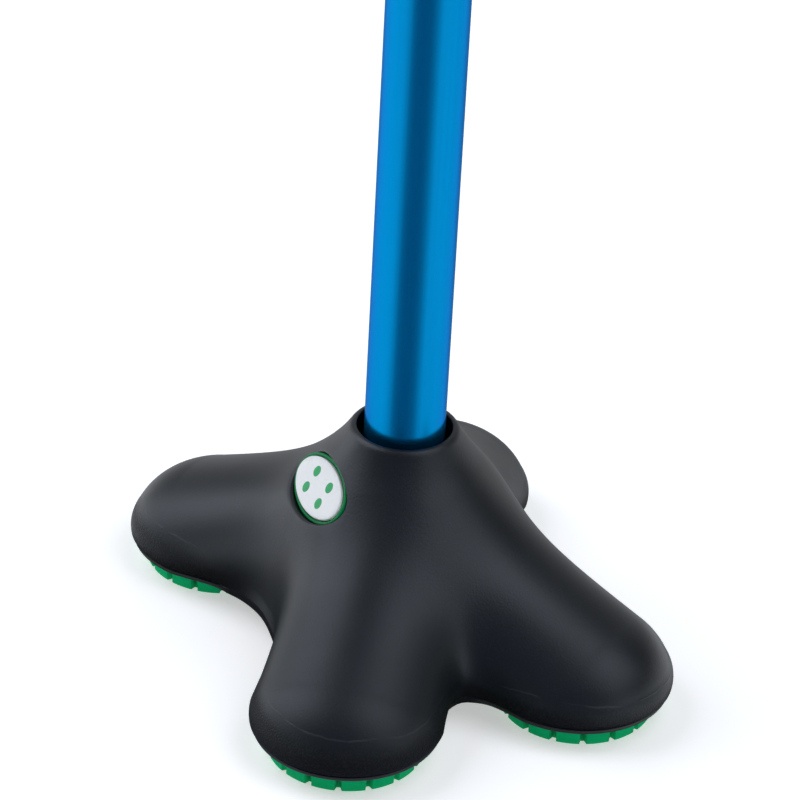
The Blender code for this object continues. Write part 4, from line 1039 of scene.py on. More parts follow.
def on_skin(flat):
    """Points of the skin over places in the badge's plane, found by halving along its outward axis."""
    low, high = (np.full(flat.shape[:-1], limit) for limit in SKIN_SEARCH)
    for _ in range(SKIN_HALVINGS):
        half = (low + high) / 2
        outside = form_depth(from_badge(flat, half)) > 0
        low, high = np.where(outside, low, half), np.where(outside, half, high)
    return from_badge(flat, half)


def pocket_window():
    """The rows and columns of the outer skin that the patch takes the place of."""
    along, across, outwards = np.moveaxis(np.abs(badge_place(outer)), -1, 0)
    near = (along < BADGE_LENGTH / 2 + PATCH_MARGIN) & (across < BADGE_WIDTH / 2 + PATCH_MARGIN)
    columns, rows = np.nonzero(near & (outer[..., 1] < 0) & (outwards < POCKET_REACH))
    return slice(columns.min(), columns.max() + 1), slice(rows.min(), rows.max() + 1)


def pocket_sheet(columns, rows):
    """The patch from its border to the oval edge, the roll over the edge, the wall and the floor."""
    part = outer[columns, rows]
    border = np.concatenate([part[:-1, 0], part[-1, :-1], part[:0:-1, -1], part[0, :0:-1]])
    place = badge_place(border)[:, :2]
    half = np.array([BADGE_LENGTH, BADGE_WIDTH]) / 2 + POCKET_PLAY
    turn = np.arctan2(place[:, 1] / half[1], place[:, 0] / half[0])
    round_turn = np.stack([np.cos(turn), np.sin(turn)], axis=-1)
    edge, away = round_turn * half, round_turn / half
    away /= np.linalg.norm(away, axis=-1, keepdims=True)
    sideness = 0.5 + 0.5 * np.cos(turn - EDGE_TOWARDS)
    roll = (EDGE_NARROW + (EDGE_WIDE - EDGE_NARROW) * sideness**2)[:, None]
    share = np.linspace(0.0, 1.0, PATCH_STEPS)[:, None, None]
    skin = on_skin(place + (edge + away * roll - place) * share)
    skin[0] = border
    angle = np.linspace(0.0, math.pi / 2, EDGE_STEPS)[1:, None, None]
    over = on_skin(edge + away * roll * (1 - np.sin(angle)))
    over -= (roll * (1 - np.cos(angle)) * EDGE_DROP) * badge_outward
    wall_top = badge_place(over[-1])[:, 2]
    levels = wall_top + (POCKET_FLOOR - wall_top) * np.linspace(0.0, 1.0, 5)[1:, None]
    wall = from_badge(np.broadcast_to(edge, (4, *edge.shape)), levels)
    floor = badge_centre + POCKET_FLOOR * badge_outward
    centre = floor + (wall[-1] - floor) * np.array([0.5, 0.0])[:, None, None]
    return grid(np.concatenate([skin, over, wall, centre]))


window_columns, window_rows = pocket_window()
below = bead_rows()
shell_rows = np.array([*below, *outer.swapaxes(0, 1), *rim_rows(), *inner.swapaxes(0, 1)[::-1]])
left_out = (
    slice(window_rows.start + len(below), window_rows.stop + len(below) - 1),
    slice(window_columns.start, window_columns.stop - 1),
)
shell = grid(shell_rows, join_rows=True, left_out=left_out)
patch = pocket_sheet(window_columns, window_rows)
make_piece("base_shell", [shell, patch], SOFT_BLACK, sharp=60.0, name="soft_base")

# %% [markdown]
# ## The treads
#
# Each foot stands on a pad of green rubber whose rim is cut into blocks by sixteen notches. In the
# photograph the notches are narrow at the top and open towards the floor, so the blocks taper. The pad
# is a turned profile whose radius is cut back where a notch is: the columns crowd together at the
# notches, where the shape changes quickly. A ring groove underneath lets water out.

# %% Treads
TREAD_NOTCHES = 16
NOTCH_DEPTH = 1.5 * MM
NOTCH_HALF_TOP = 0.45 * MM
NOTCH_HALF_BOTTOM = 0.68 * MM
NOTCH_TURN = math.radians(4.0)  # the first notch from the line ahead, mirrored from foot to foot
NOTCH_EASE = 0.2 * MM
TREAD_THICKNESS = 4.4 * MM
TREAD_DRAFT = 0.15 * MM
TREAD_NECK_TOP = 8.0 * MM
TREAD_STEM_RADIUS = 4.6 * MM
TREAD_STEM_TOP = 16.0 * MM
GROOVE_PLACE = 0.62  # the ring groove's radius over the pad's
GROOVE_HALF_TOP, GROOVE_HALF_BOTTOM, GROOVE_DEPTH = 0.7 * MM, 1.1 * MM, 0.9 * MM
COLUMNS_PER_NOTCH = 24
CROWDING = 0.7  # 0 spaces the columns evenly and 1 crowds them most
EDGE_EASE = 0.35 * MM
WEAR = (0.9 * MM, 0.1 * MM)  # distances from an edge between which wear sets in
NOTCH_PAINTED_SHADE = (0.1 * TREAD_THICKNESS, 0.45 * TREAD_THICKNESS)  # heights over which the painted shade in a notch sets in

TREAD_RIM_RADIUS = (highest("tread_front_left") - lowest("tread_front_left"))[0] / 2 - 1.2 * MM
TREAD_NECK_RADIUS = TREAD_RIM_RADIUS - 1.7 * MM
SIDE_WEAR_FROM = (15.0 * MM, 16.5 * MM)  # radii between which it sets in on the notches' sides
FOOT_WEAR_FROM = (0.7 * TREAD_RIM_RADIUS, 16.0 * MM)  # and on the lower edge


def tread_outline():
    """Radius and height from the middle of the underside out, up the rim and up the stem."""
    foot_radius = TREAD_RIM_RADIUS - TREAD_DRAFT
    groove = foot_radius * GROOVE_PLACE
    outline = [
        (0.0, 0.0),
        (groove - GROOVE_HALF_BOTTOM, 0.0),
        (groove - GROOVE_HALF_TOP, GROOVE_DEPTH),
        (groove + GROOVE_HALF_TOP, GROOVE_DEPTH),
        (groove + GROOVE_HALF_BOTTOM, 0.0),
        (foot_radius, 0.0),
        (TREAD_RIM_RADIUS, TREAD_THICKNESS),
        (TREAD_NECK_RADIUS, TREAD_THICKNESS + 0.05 * MM),
        (TREAD_NECK_RADIUS, TREAD_NECK_TOP),
        (TREAD_STEM_RADIUS, TREAD_NECK_TOP),
        (TREAD_STEM_RADIUS, TREAD_STEM_TOP),
        (0.0, TREAD_STEM_TOP),
    ]
    return rounded(outline, EDGE_EASE, closed=False, steps=5)


def make_tread(packed, centre, first_notch):
    """The turned pad with its notches. Its marks say how near each point is to a block's lower or
    upright edge, and how much painted shade it gets in the upper part of a notch."""
    share = np.linspace(-1.0, 1.0, COLUMNS_PER_NOTCH, endpoint=False)
    from_notch = ((1 - CROWDING) * share + CROWDING * share**3) * math.pi / TREAD_NOTCHES
    notch = first_notch + np.arange(TREAD_NOTCHES) * math.tau / TREAD_NOTCHES
    turn = (notch[:, None] + from_notch[None, :]).ravel()[None, :]
    radius, height = columns_of(tread_outline())
    rise = height / TREAD_THICKNESS
    off = np.abs(np.tile(from_notch, TREAD_NOTCHES))[None, :] * TREAD_RIM_RADIUS
    half = NOTCH_HALF_BOTTOM + (NOTCH_HALF_TOP - NOTCH_HALF_BOTTOM) * np.clip(rise, 0, 1)
    cut = smooth_step(off, half + NOTCH_EASE, half - NOTCH_EASE)
    notched = height < TREAD_THICKNESS + 0.01 * MM
    floor_radius = TREAD_RIM_RADIUS - TREAD_DRAFT * (1 - rise) - NOTCH_DEPTH * cut
    reach = np.where(notched, np.minimum(radius, floor_radius), radius)
    on_side = smooth_step(np.abs(off - half), *WEAR) * notched * smooth_step(radius, *SIDE_WEAR_FROM)
    low_edge = smooth_step(height, *WEAR) * smooth_step(radius, *FOOT_WEAR_FROM)
    worn = np.clip(on_side + low_edge, 0.0, 1.0)
    # painted shade over the upper part of each notch
    deep = cut * notched * smooth_step(height, *NOTCH_PAINTED_SHADE)
    marks = {"worn_edge": worn.ravel(), "notch_painted_shade": deep.ravel()}
    make_piece(packed, [grid(swept(reach, height, turn) + centre)], GREEN_RUBBER, sharp=34.0, marks=marks)


for ahead, front in ((1, "front"), (-1, "rear")):
    for aside, side in ((1, "left"), (-1, "right")):
        foot = np.array([FOOT_AHEAD * ahead, FOOT_ASIDE * aside, 0.0])
        make_tread(f"tread_{front}_{side}", foot, NOTCH_TURN * ahead * aside)

# %% [markdown]
# ## The badge
#
# The badge is a green oval plug with a raised white face let into it. Both are one profile carried
# round an oval: a row is a share of the oval's half-sizes less an inset, at a distance out of the
# badge's plane. The face is gently crowned and its edge eased, so that it catches light as enamel does.

# %% Badge
BADGE_RIM = 1.1 * MM
BADGE_HOLLOW = BADGE_RIM - GAP
BADGE_EASE = 0.3 * MM
BADGE_CROWN = 0.12 * MM
FACE_TOP = -1.3 * MM
FACE_BOTTOM = -2.1 * MM
PLUG_TOP = -1.8 * MM
PLUG_BOTTOM = -3.4 * MM
FACE_INSET = BADGE_RIM + BADGE_EASE

plug_profile = [
    (0.0, 0.0, PLUG_BOTTOM),
    (1.0, BADGE_EASE, PLUG_BOTTOM),
    (1.0, 0.0, PLUG_BOTTOM + BADGE_EASE),
    (1.0, 0.0, PLUG_TOP - BADGE_EASE),
    (1.0, BADGE_EASE * 0.3, PLUG_TOP - BADGE_EASE * 0.3),
    (1.0, BADGE_EASE, PLUG_TOP),
    (1.0, BADGE_HOLLOW - BADGE_EASE * 0.6, PLUG_TOP),
    (1.0, BADGE_HOLLOW - BADGE_EASE * 0.15, PLUG_TOP - BADGE_EASE * 0.2),
    (1.0, BADGE_HOLLOW, PLUG_TOP - BADGE_EASE * 0.7),
    (1.0, BADGE_HOLLOW, FACE_BOTTOM - GAP),
    (0.0, 0.0, FACE_BOTTOM - GAP),
]
face_profile = [
    (0.0, 0.0, FACE_BOTTOM),
    (1.0, BADGE_RIM, FACE_BOTTOM),
    (1.0, BADGE_RIM, FACE_TOP - BADGE_EASE),
    (1.0, BADGE_RIM + BADGE_EASE * 0.3, FACE_TOP - BADGE_EASE * 0.3),
    (1.0, FACE_INSET, FACE_TOP),
]
for s in np.linspace(0, 1, 9)[1:]:
    face_profile.append((1 - s, FACE_INSET * (1 - s), FACE_TOP + BADGE_CROWN * s * (2 - s)))

for packed, profile, finish in (
    ("badge_plug", plug_profile, BADGE_GREEN),
    ("badge_face", face_profile, BADGE_PRINT),
):
    turn = np.linspace(0.0, math.tau, 96, endpoint=False)[None, :]
    share, inset, out = columns_of(profile)
    along = (share * BADGE_LENGTH / 2 - inset) * np.cos(turn)
    across = (share * BADGE_WIDTH / 2 - inset) * np.sin(turn)
    marks = {"badge_place": np.stack([along, across, 0.0 * along], axis=-1).reshape(-1, 3)}
    points = from_badge(np.stack([along, across], axis=-1), out)
    make_piece(packed, [grid(points)], finish, sharp=50.0, marks=marks)

# %% [markdown]
# ## The lower tube and what it holds
#
# Both tubes are drawn aluminium with round holes on the right side, the lower one with a single hole
# for the snap button, the upper one with a row of thirteen. A hole in a grid needs a patch of its own:
# a rectangle of the tube's wall is filled with rings that go from the rectangle's edge to the hole's
# circle, so the faces stay even and the hole stays round. The wall's two sides are such surfaces, and
# each hole's own wall joins them.

# %% Pierced tubes
TUBE_WALL = 1.25 * MM
BUTTON_HEIGHT = middle("snap_button")[2]
BUTTON_RADIUS = 3.175 * MM
HOLE_RADIUS = BUTTON_RADIUS + 0.4 * MM
HOLE_PITCH = 19.05 * MM
HOLE_EASE = 0.25 * MM
END_EASE = 0.3 * MM
STRIP_COLUMNS = 10  # across the strip that holds the holes
STRIP_WIDTH = 2.1  # its half-width over a hole's radius
CELL_ROWS = 14  # along it, for each hole
PATCH_RINGS = 5
WRAP_COLUMNS = 70  # round the rest of the tube


def on_tube(radius, turn, height):
    """Points of a cylinder about Z, the turn measured from -Y towards +X."""
    turn, height = np.broadcast_arrays(turn, height)
    return np.stack([radius * np.sin(turn), -radius * np.cos(turn), height], axis=-1)


def pierced_tube(radius, bore, bottom, holes, stations):
    """Sheets of a tube about Z with holes towards -Y, closed at both ends. Stations are the heights of
    the rows above the last hole."""
    half_strip = STRIP_WIDTH * HOLE_RADIUS / radius
    strip = np.linspace(-half_strip, half_strip, STRIP_COLUMNS + 1)
    wrap = np.linspace(half_strip, math.tau - half_strip, WRAP_COLUMNS + 1)
    zone = np.linspace(holes[0] - HOLE_PITCH / 2, holes[-1] + HOLE_PITCH / 2, CELL_ROWS * len(holes) + 1)
    below = np.linspace(bottom + END_EASE, zone[0], 8)
    above = np.concatenate([[zone[-1]], stations])
    all_rows = np.concatenate([below[:-1], zone, above[1:]])
    side = np.linspace(-1.0, 1.0, STRIP_COLUMNS + 1)[:-1]
    rise = np.linspace(-1.0, 1.0, CELL_ROWS + 1)[:-1]
    tall, broad = np.ones(CELL_ROWS), np.ones(STRIP_COLUMNS)
    frame_turn = np.concatenate([side, tall, -side, -tall]) * half_strip
    frame_rise = np.concatenate([-broad, rise, broad, -rise]) * HOLE_PITCH / 2
    angle = np.arctan2(frame_rise, frame_turn * radius)
    share = np.linspace(0.0, 1.0, PATCH_RINGS + 1)[:, None]
    sheets = []

    def hole_ring(wall, reach):
        """A hole's circle on a cylinder: its points' turn and rise."""
        return np.arcsin(reach * np.cos(angle) / wall), reach * np.sin(angle)

    for wall, reach in ((radius, HOLE_RADIUS + HOLE_EASE), (bore, HOLE_RADIUS)):
        for columns, rows in ((wrap, all_rows), (strip, below), (strip, above)):
            sheets.append(grid(on_tube(wall, columns[None, :], rows[:, None]), join_columns=False))
        ring_turn, ring_rise = hole_ring(wall, reach)
        turn = ring_turn + (frame_turn - ring_turn) * share
        climb = ring_rise + (frame_rise - ring_rise) * share
        sheets += [grid(on_tube(wall, turn, hole + climb)) for hole in holes]
    rings = [
        (radius, hole_ring(radius, HOLE_RADIUS + HOLE_EASE)),
        (radius - HOLE_EASE, hole_ring(radius, HOLE_RADIUS)),
        (bore, hole_ring(bore, HOLE_RADIUS)),
    ]
    for hole in holes:
        sheets.append(grid(np.array([on_tube(wall, turn, hole + climb) for wall, (turn, climb) in rings])))
    rim_turn = np.concatenate([strip[:-1], wrap[:-1]])[None, :]
    for end, ease in ((bottom, END_EASE), (all_rows[-1], 0.0)):
        outline = [(radius, ease), (radius - ease * 0.3, ease * 0.3), (radius - ease, 0.0)]
        outline += [(bore + ease, 0.0), (bore + ease * 0.3, ease * 0.3), (bore, ease)]
        rows = [on_tube(wall, rim_turn, np.full((1, 1), end + inwards)) for wall, inwards in outline]
        sheets.append(grid(np.concatenate(rows)))
    return sheets


def make_tube(packed, sheets, shape=None):
    """A blue tube, its sheets carried on to a shape. A mark keeps each point's place before that."""
    marks = {"straightened": np.concatenate([points for points, _ in sheets])}
    if shape:
        sheets = [(shape(points), faces) for points, faces in sheets]
    make_piece(packed, sheets, BLUE_ANODISED, sharp=30.0, marks=marks)


# %% Lower tube
LOWER_TUBE_BORE = LOWER_TUBE_RADIUS - TUBE_WALL
LOWER_TUBE_BOTTOM, LOWER_TUBE_TOP = heights("lower_tube")

lower_rows = np.linspace(BUTTON_HEIGHT + HOLE_PITCH / 2, LOWER_TUBE_TOP, 6)[1:]
lower_size = (LOWER_TUBE_RADIUS, LOWER_TUBE_BORE, LOWER_TUBE_BOTTOM)
make_tube("lower_tube", pierced_tube(*lower_size, [BUTTON_HEIGHT], lower_rows))

# %% [markdown]
# The pieces inside the base and the tube hardly show, but they are finished too: a rubber sleeve and a
# steel washer in the socket, a plug in the tube's end, and a nylon bush on its top. Each is a turned
# profile with eased corners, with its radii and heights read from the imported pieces.

# %% Sleeve, washer, plug and bush
INSERT_RADIUS = LOWER_TUBE_BORE - GAP
BUSH_WALL = 1.5 * MM


def ring_outline(packed, bore):
    """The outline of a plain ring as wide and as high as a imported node."""
    radius, (low, high) = highest(packed)[0], heights(packed)
    return [(radius, high), (radius, low), (bore, low), (bore, high)]


turned_piece("socket_sleeve", ring_outline("socket_sleeve", LOWER_TUBE_RADIUS + GAP), SLEEVE_BLACK)
turned_piece("seat_washer", ring_outline("seat_washer", LOWER_TUBE_BORE / 2), STEEL, radius=0.2 * MM)

plug_low, plug_high = heights("tube_end_plug")
plug_outline = [
    (0.0, plug_high),
    (INSERT_RADIUS, plug_high),
    (INSERT_RADIUS, LOWER_TUBE_BOTTOM - GAP),
    (LOWER_TUBE_RADIUS, LOWER_TUBE_BOTTOM - GAP),
    (LOWER_TUBE_RADIUS, plug_low),
    (0.0, plug_low),
]
turned_piece("tube_end_plug", plug_outline, GREY_PLASTIC, closed=False)

bush_low, bush_high = heights("guide_bush")
bush_outline = [
    (LOWER_TUBE_RADIUS, bush_high),
    (LOWER_TUBE_RADIUS, LOWER_TUBE_TOP + GAP),
    (INSERT_RADIUS, LOWER_TUBE_TOP + GAP),
    (INSERT_RADIUS, bush_low),
    (INSERT_RADIUS - BUSH_WALL, bush_low),
    (INSERT_RADIUS - BUSH_WALL, bush_high),
]
turned_piece("guide_bush", bush_outline, NYLON)

# %% [markdown]
# ## The upper tube
#
# The upper tube is made straight, with its row of holes, and then bent: a point's height becomes a
# distance along the tube's path, whose direction turns at an even rate in each bend. Summing the
# direction along the way gives the path itself. The straight places are kept as a mark, so that the
# drawn lines of the metal follow the bends.

# %% Upper tube
UPPER_TUBE_BORE = LOWER_TUBE_RADIUS + 0.3375 * MM
UPPER_TUBE_RADIUS = UPPER_TUBE_BORE + TUBE_WALL
UPPER_TUBE_BOTTOM = lowest("upper_tube")[2]
HANDLE_AXIS = middle("grip_front_ring")[2]
HANDLE_REACH = highest("upper_tube")[0]
HANDLE_END = lowest("upper_tube")[0]
NECK_LEAN = math.radians(40.0)
NECK_LOWER_BEND = 55.0 * MM
NECK_UPPER_BEND = 40.0 * MM
HOLES_BELOW = 4
HOLES_ABOVE = 8


def path_knots():
    """Distances along the tube where its bends start and end, and its direction from +Z there."""
    upper_x = HANDLE_REACH - UPPER_TUBE_RADIUS - NECK_UPPER_BEND
    lean_end_x = upper_x + NECK_UPPER_BEND * math.cos(NECK_LEAN)
    lean_end_z = HANDLE_AXIS - NECK_UPPER_BEND - NECK_UPPER_BEND * math.sin(NECK_LEAN)
    bend_x = NECK_LOWER_BEND * (1 - math.cos(NECK_LEAN))
    lean_length = (lean_end_x - bend_x) / math.sin(NECK_LEAN)
    first = lean_end_z - lean_length * math.cos(NECK_LEAN) - NECK_LOWER_BEND * math.sin(NECK_LEAN)
    lengths = [NECK_LOWER_BEND * NECK_LEAN, lean_length, NECK_UPPER_BEND * (NECK_LEAN + math.pi / 2)]
    return first + np.cumsum([0.0, *lengths, upper_x - HANDLE_END]), [0.0, NECK_LEAN, NECK_LEAN, -math.pi / 2]


KNOTS, DIRECTIONS = path_knots()


def bent(points):
    """Points of the straight tube carried onto its path: a centre from the summed direction, and the
    point's own x laid across the direction."""
    fine = np.linspace(KNOTS[0], KNOTS[-1], 6001)
    heading = np.interp(fine, KNOTS[:-1], DIRECTIONS)
    x, y, s = points.T
    turn = np.interp(s, KNOTS[:-1], DIRECTIONS)
    centre = []
    for way in (np.sin(heading), np.cos(heading)):
        summed = np.cumsum((way[1:] + way[:-1]) / 2 * (fine[1] - fine[0]))
        centre.append(np.interp(s, fine, np.concatenate([[0.0], summed])))
    along_x, along_z = centre[0], centre[1] + np.minimum(s, KNOTS[0])
    return np.column_stack([along_x + x * np.cos(turn), y, along_z - x * np.sin(turn)])


upper_holes = BUTTON_HEIGHT + np.arange(-HOLES_BELOW, HOLES_ABOVE + 1) * HOLE_PITCH
parts = zip([upper_holes[-1] + HOLE_PITCH / 2, *KNOTS[:-1]], KNOTS, (8, 26, 4, 46, 6))
upper_rows = np.concatenate([np.linspace(start, end, count)[1:] for start, end, count in parts])
upper_size = (UPPER_TUBE_RADIUS, UPPER_TUBE_BORE, UPPER_TUBE_BOTTOM)
make_tube("upper_tube", pierced_tube(*upper_size, upper_holes, upper_rows), bent)

# %% [markdown]
# ## The snap button and its spring
#
# A plated steel button stands out of the chosen hole, its end domed so that a thumb can press it in.
# It is turned about an axis that points to the cane's right. Inside the lower tube a strip of spring
# steel, bent to a V, pushes the button out. One leg carries the button and the other leans on the far
# wall. Only the leg under the button gives way when it is pressed. The strip is one piece.

# %% Snap button
BUTTON_DOME = 1.9 * MM
BUTTON_FLANGE_RADIUS = 4.2 * MM
BUTTON_FLANGE = 1.0 * MM
button_tip, button_seat = -lowest("snap_button")[1], -highest("snap_button")[1]
button_outline = [
    *arc(BUTTON_RADIUS, BUTTON_DOME, 90.0, 0.0, 14, (0.0, button_tip - BUTTON_DOME)),
    (BUTTON_RADIUS, button_seat + BUTTON_FLANGE),
    (BUTTON_FLANGE_RADIUS, button_seat + BUTTON_FLANGE),
    (BUTTON_FLANGE_RADIUS, button_seat),
    (0.0, button_seat),
]
button_lay = {"along": (0, -1, 0), "origin": (0.0, 0.0, BUTTON_HEIGHT)}
turned_piece("snap_button", button_outline, STEEL, radius=0.12 * MM, closed=False, **button_lay)

# %% The strip's middle line
STRIP_THICKNESS = 0.7 * MM
STRIP_ROUNDING = 0.15 * MM
STRIP_TURN = 2.4 * MM  # radius of its middle line at the point of the V
STRIP_STEP = 0.8 * MM
CARRYING_BELOW = 4.2 * MM  # the leg stays straight this far under the button's middle
spring_low, spring_high = lowest("snap_spring"), highest("snap_spring")
near_leg = spring_low[1] + STRIP_THICKNESS / 2
far_leg = spring_high[1] - STRIP_THICKNESS / 2
turn_across = (near_leg + far_leg) / 2
turn_height = spring_low[2] + STRIP_TURN + STRIP_THICKNESS / 2
point = arc(-STRIP_TURN, -STRIP_TURN, 20.0, 160.0, 15, (turn_across, turn_height))
straight = [(near_leg, spring_high[2]), (near_leg, BUTTON_HEIGHT - CARRYING_BELOW)]
corners = np.array([*straight, *point, (far_leg, spring_high[2])])
along = ways_along(corners)
steps = np.linspace(0.0, along[-1], int(along[-1] / STRIP_STEP))
strip = np.stack([np.interp(steps, along, corners[:, axis]) for axis in (0, 1)], axis=-1)
strip[1:-1] = strip[1:-1] / 2 + (strip[:-2] + strip[2:]) / 4
print("the strip is", round(along[-1] / MM, 1), "mm long")

# %% The bent strip
STRIP_BENDS_BELOW = 30.0 * MM  # under the button's middle
STRIP_BENDS_ALONG = (0.0, -9.5 * MM, 1.35 * MM)  # from where it bends to where it follows the button


def strip_points():
    """Rings round the strip's middle line. Each ring is a rectangle with quarter circles at its corners:
    corner middle + r (cos a, sin a). The first and last rings close to a point."""
    quarter = np.arange(4)[:, None] * math.pi / 2
    angle = (quarter + np.linspace(0.0, math.pi / 2, 4)).ravel()
    corner = np.repeat(quarter.ravel() + math.pi / 4, 4)
    half = np.array([spring_high[0], STRIP_THICKNESS / 2]) - STRIP_ROUNDING
    wide = np.sign(np.cos(corner)) * half[0] + STRIP_ROUNDING * np.cos(angle)
    thick = np.sign(np.sin(corner)) * half[1] + STRIP_ROUNDING * np.sin(angle)
    ahead = np.gradient(strip, axis=0)
    ahead /= np.linalg.norm(ahead, axis=1)[:, None]
    side = np.stack([-ahead[:, 1], ahead[:, 0]], axis=-1)
    ring = strip[:, None, :] + side[:, None, :] * thick[None, :, None]
    rings = np.concatenate([np.broadcast_to(wide[None, :, None], (*ring.shape[:2], 1)), ring], axis=-1)
    first, last = (np.broadcast_to(end.mean(axis=0), (1, *end.shape)) for end in (rings[0], rings[-1]))
    return np.concatenate([first, rings, last])


bends_from = np.array([0.0, turn_across, BUTTON_HEIGHT - STRIP_BENDS_BELOW])
bend = ("base", "button", tuple(bends_from), tuple(bends_from + STRIP_BENDS_ALONG))
make_piece("snap_spring", [grid(strip_points())], STEEL, bend=bend)

# %% [markdown]
# ## The collar and its thread
#
# At the upper tube's lower end a threaded bushing is riveted on, a ribbed collar turns on its thread,
# and a split nylon cone inside the collar grips the lower tube. The collar's ribs and the bushing's
# thread are both a turned profile with relief: the ribs repeat round it, and the thread's ridge climbs
# by one pitch for each turn.

# %% Locking collar
COLLAR_RIBS = 22
RIB_DEPTH = 0.9 * MM
COLLAR_EASE = 1.6 * MM
COLLAR_FLOOR = 3.0 * MM
COLLAR_INSIDE = 1.0 * MM  # nothing this near the bore has ribs
RIBS_OVER_FOOT = (2.5 * MM, 5.0 * MM)  # the grooves set in between these heights over the lower end
RIBS_UNDER_TOP = (3.5 * MM, 6.0 * MM)  # and between these depths under the upper end
THREAD_RADIUS = UPPER_TUBE_RADIUS + GAP + 2.8 * MM
COLLAR_BORE = THREAD_RADIUS + 0.4 * MM
COLLAR_RADIUS = highest("locking_collar")[0]
collar_low, collar_high = heights("locking_collar")


def collar_ribs(turn, radius, height):
    """Grooves between rounded ribs: a power of a cosine, fading out towards both ends and inside."""
    groove = (0.5 + 0.5 * np.cos(turn * COLLAR_RIBS)) ** 3
    ends = smooth_step(height - collar_low, *RIBS_OVER_FOOT)
    ends = ends * smooth_step(collar_high - height, *RIBS_UNDER_TOP)
    return -RIB_DEPTH * groove * ends * (radius > COLLAR_BORE + COLLAR_INSIDE)


crown_centre = (COLLAR_RADIUS - COLLAR_EASE, collar_high - COLLAR_EASE)
crown = arc(COLLAR_EASE, COLLAR_EASE, 80.0, 10.0, 6, crown_centre)
side_heights = np.linspace(collar_high - COLLAR_EASE, collar_low + COLLAR_EASE, 40)
floor_bore, floor_top = LOWER_TUBE_RADIUS + 1.0 * MM, collar_low + COLLAR_FLOOR
collar_outline = [
    *crown,
    *((COLLAR_RADIUS, z) for z in side_heights),
    *((r, collar_low + collar_high - z) for r, z in crown[::-1]),
    (floor_bore, collar_low),
    (floor_bore, floor_top),
    (COLLAR_BORE, floor_top),
    (COLLAR_BORE, collar_high),
]
collar = spun(collar_outline, steps=COLLAR_RIBS * 12, relief=collar_ribs)
make_piece("locking_collar", [grid(collar, join_rows=True)], STIFF_BLACK)

# %% Thread bushing
THREAD_PITCH = 2.5 * MM
THREAD_DEPTH = 0.75 * MM
THREAD_FLANK = (0.25, 0.75)  # shares of half a pitch that a flank lies between
THREAD_ENDS = (0.8 * MM, 1.2 * MM)  # plain ends under and over the ridge
THREAD_ROWS = 150
FLANGE_EASE = 1.3 * MM
CLAMP_RADIUS = LOWER_TUBE_RADIUS + GAP + 3.1 * MM
CLAMP_TAPER = 1.7 * MM
FLANGE_RADIUS = UPPER_TUBE_RADIUS + GAP + 4.6 * MM
bushing_low, bushing_high = heights("thread_bushing")
clamp_low, clamp_high = heights("clamp_ring")
FLANGE_BOTTOM = bushing_high - 14.0 * MM


def thread_ridge(turn, radius, height):
    """A right-hand thread: its groove is where height less one pitch a turn is near a whole pitch."""
    phase = np.abs((height / THREAD_PITCH - turn / math.tau) % 1.0 - 0.5) * 2
    on_thread = (height > bushing_low + THREAD_ENDS[0]) * (height < FLANGE_BOTTOM - THREAD_ENDS[1])
    on_thread = on_thread * (np.abs(radius - THREAD_RADIUS) < 1e-6)
    return -THREAD_DEPTH * smooth_step(phase, *THREAD_FLANK) * on_thread


def mouth_radius(height):
    """The bushing's cone, which keeps one gap from the clamp ring."""
    return CLAMP_RADIUS + GAP - CLAMP_TAPER / (clamp_high - clamp_low) * (height - clamp_low)


bushing_bore, tube_end = UPPER_TUBE_RADIUS + GAP, UPPER_TUBE_BOTTOM - GAP
flange = [(bushing_bore, bushing_high), (FLANGE_RADIUS, bushing_high)]
flange += [(FLANGE_RADIUS, FLANGE_BOTTOM), (THREAD_RADIUS, FLANGE_BOTTOM)]
bushing_outline = [
    *rounded(flange, FLANGE_EASE, closed=False, steps=8),
    *((THREAD_RADIUS, z) for z in np.linspace(FLANGE_BOTTOM - 0.1 * MM, bushing_low, THREAD_ROWS)),
    (mouth_radius(bushing_low), bushing_low),
    (mouth_radius(clamp_high + GAP), clamp_high + GAP),
    (LOWER_TUBE_RADIUS + GAP, clamp_high + GAP),
    (LOWER_TUBE_RADIUS + GAP, tube_end),
    (bushing_bore, tube_end),
]
bushing = spun(bushing_outline, relief=thread_ridge)
make_piece("thread_bushing", [grid(bushing, join_rows=True)], STIFF_BLACK)

# %% Rivets and clamp ring
RIVET_RADIUS = 1.6 * MM
RIVET_HEAD_RADIUS = 2.8 * MM
HALF_SLIT = 0.8 * MM / CLAMP_RADIUS

head_seat = FLANGE_RADIUS + GAP
for rivet, way in (("bushing_rivet_front", 1), ("bushing_rivet_rear", -1)):
    inner_end, head_top = sorted(np.abs([lowest(rivet)[0], highest(rivet)[0]]))
    head = arc(RIVET_HEAD_RADIUS, head_top - head_seat, 90.0, 0.0, 9, (0.0, head_seat))
    outline = [*head, (RIVET_RADIUS, head_seat), (RIVET_RADIUS, inner_end), (0.0, inner_end)]
    rivet_lay = {"along": (way, 0, 0), "origin": (0.0, 0.0, middle(rivet)[2])}
    turned_piece(rivet, outline, STEEL, radius=0.08 * MM, closed=False, **rivet_lay)


def clamp_ring_sheets():
    """The cone's outline carried round from one side of its slit to the other, with both ends closed."""
    turn = np.linspace(math.pi + HALF_SLIT, 3 * math.pi - HALF_SLIT, 90)[None, :]
    bore = LOWER_TUBE_RADIUS + GAP
    cone = [(CLAMP_RADIUS - CLAMP_TAPER, clamp_high), (CLAMP_RADIUS, clamp_low)]
    radius, height = columns_of(rounded([*cone, (bore, clamp_low), (bore, clamp_high)], 0.25 * MM))
    points = swept(radius, height, turn)
    sheets = [grid(points, join_rows=True, join_columns=False)]
    for column in (0, -1):
        rim = points[:, column]
        sheets.append(grid(np.stack([rim, np.broadcast_to(rim.mean(axis=0), rim.shape)])))
    return sheets


make_piece("clamp_ring", clamp_ring_sheets(), NYLON)

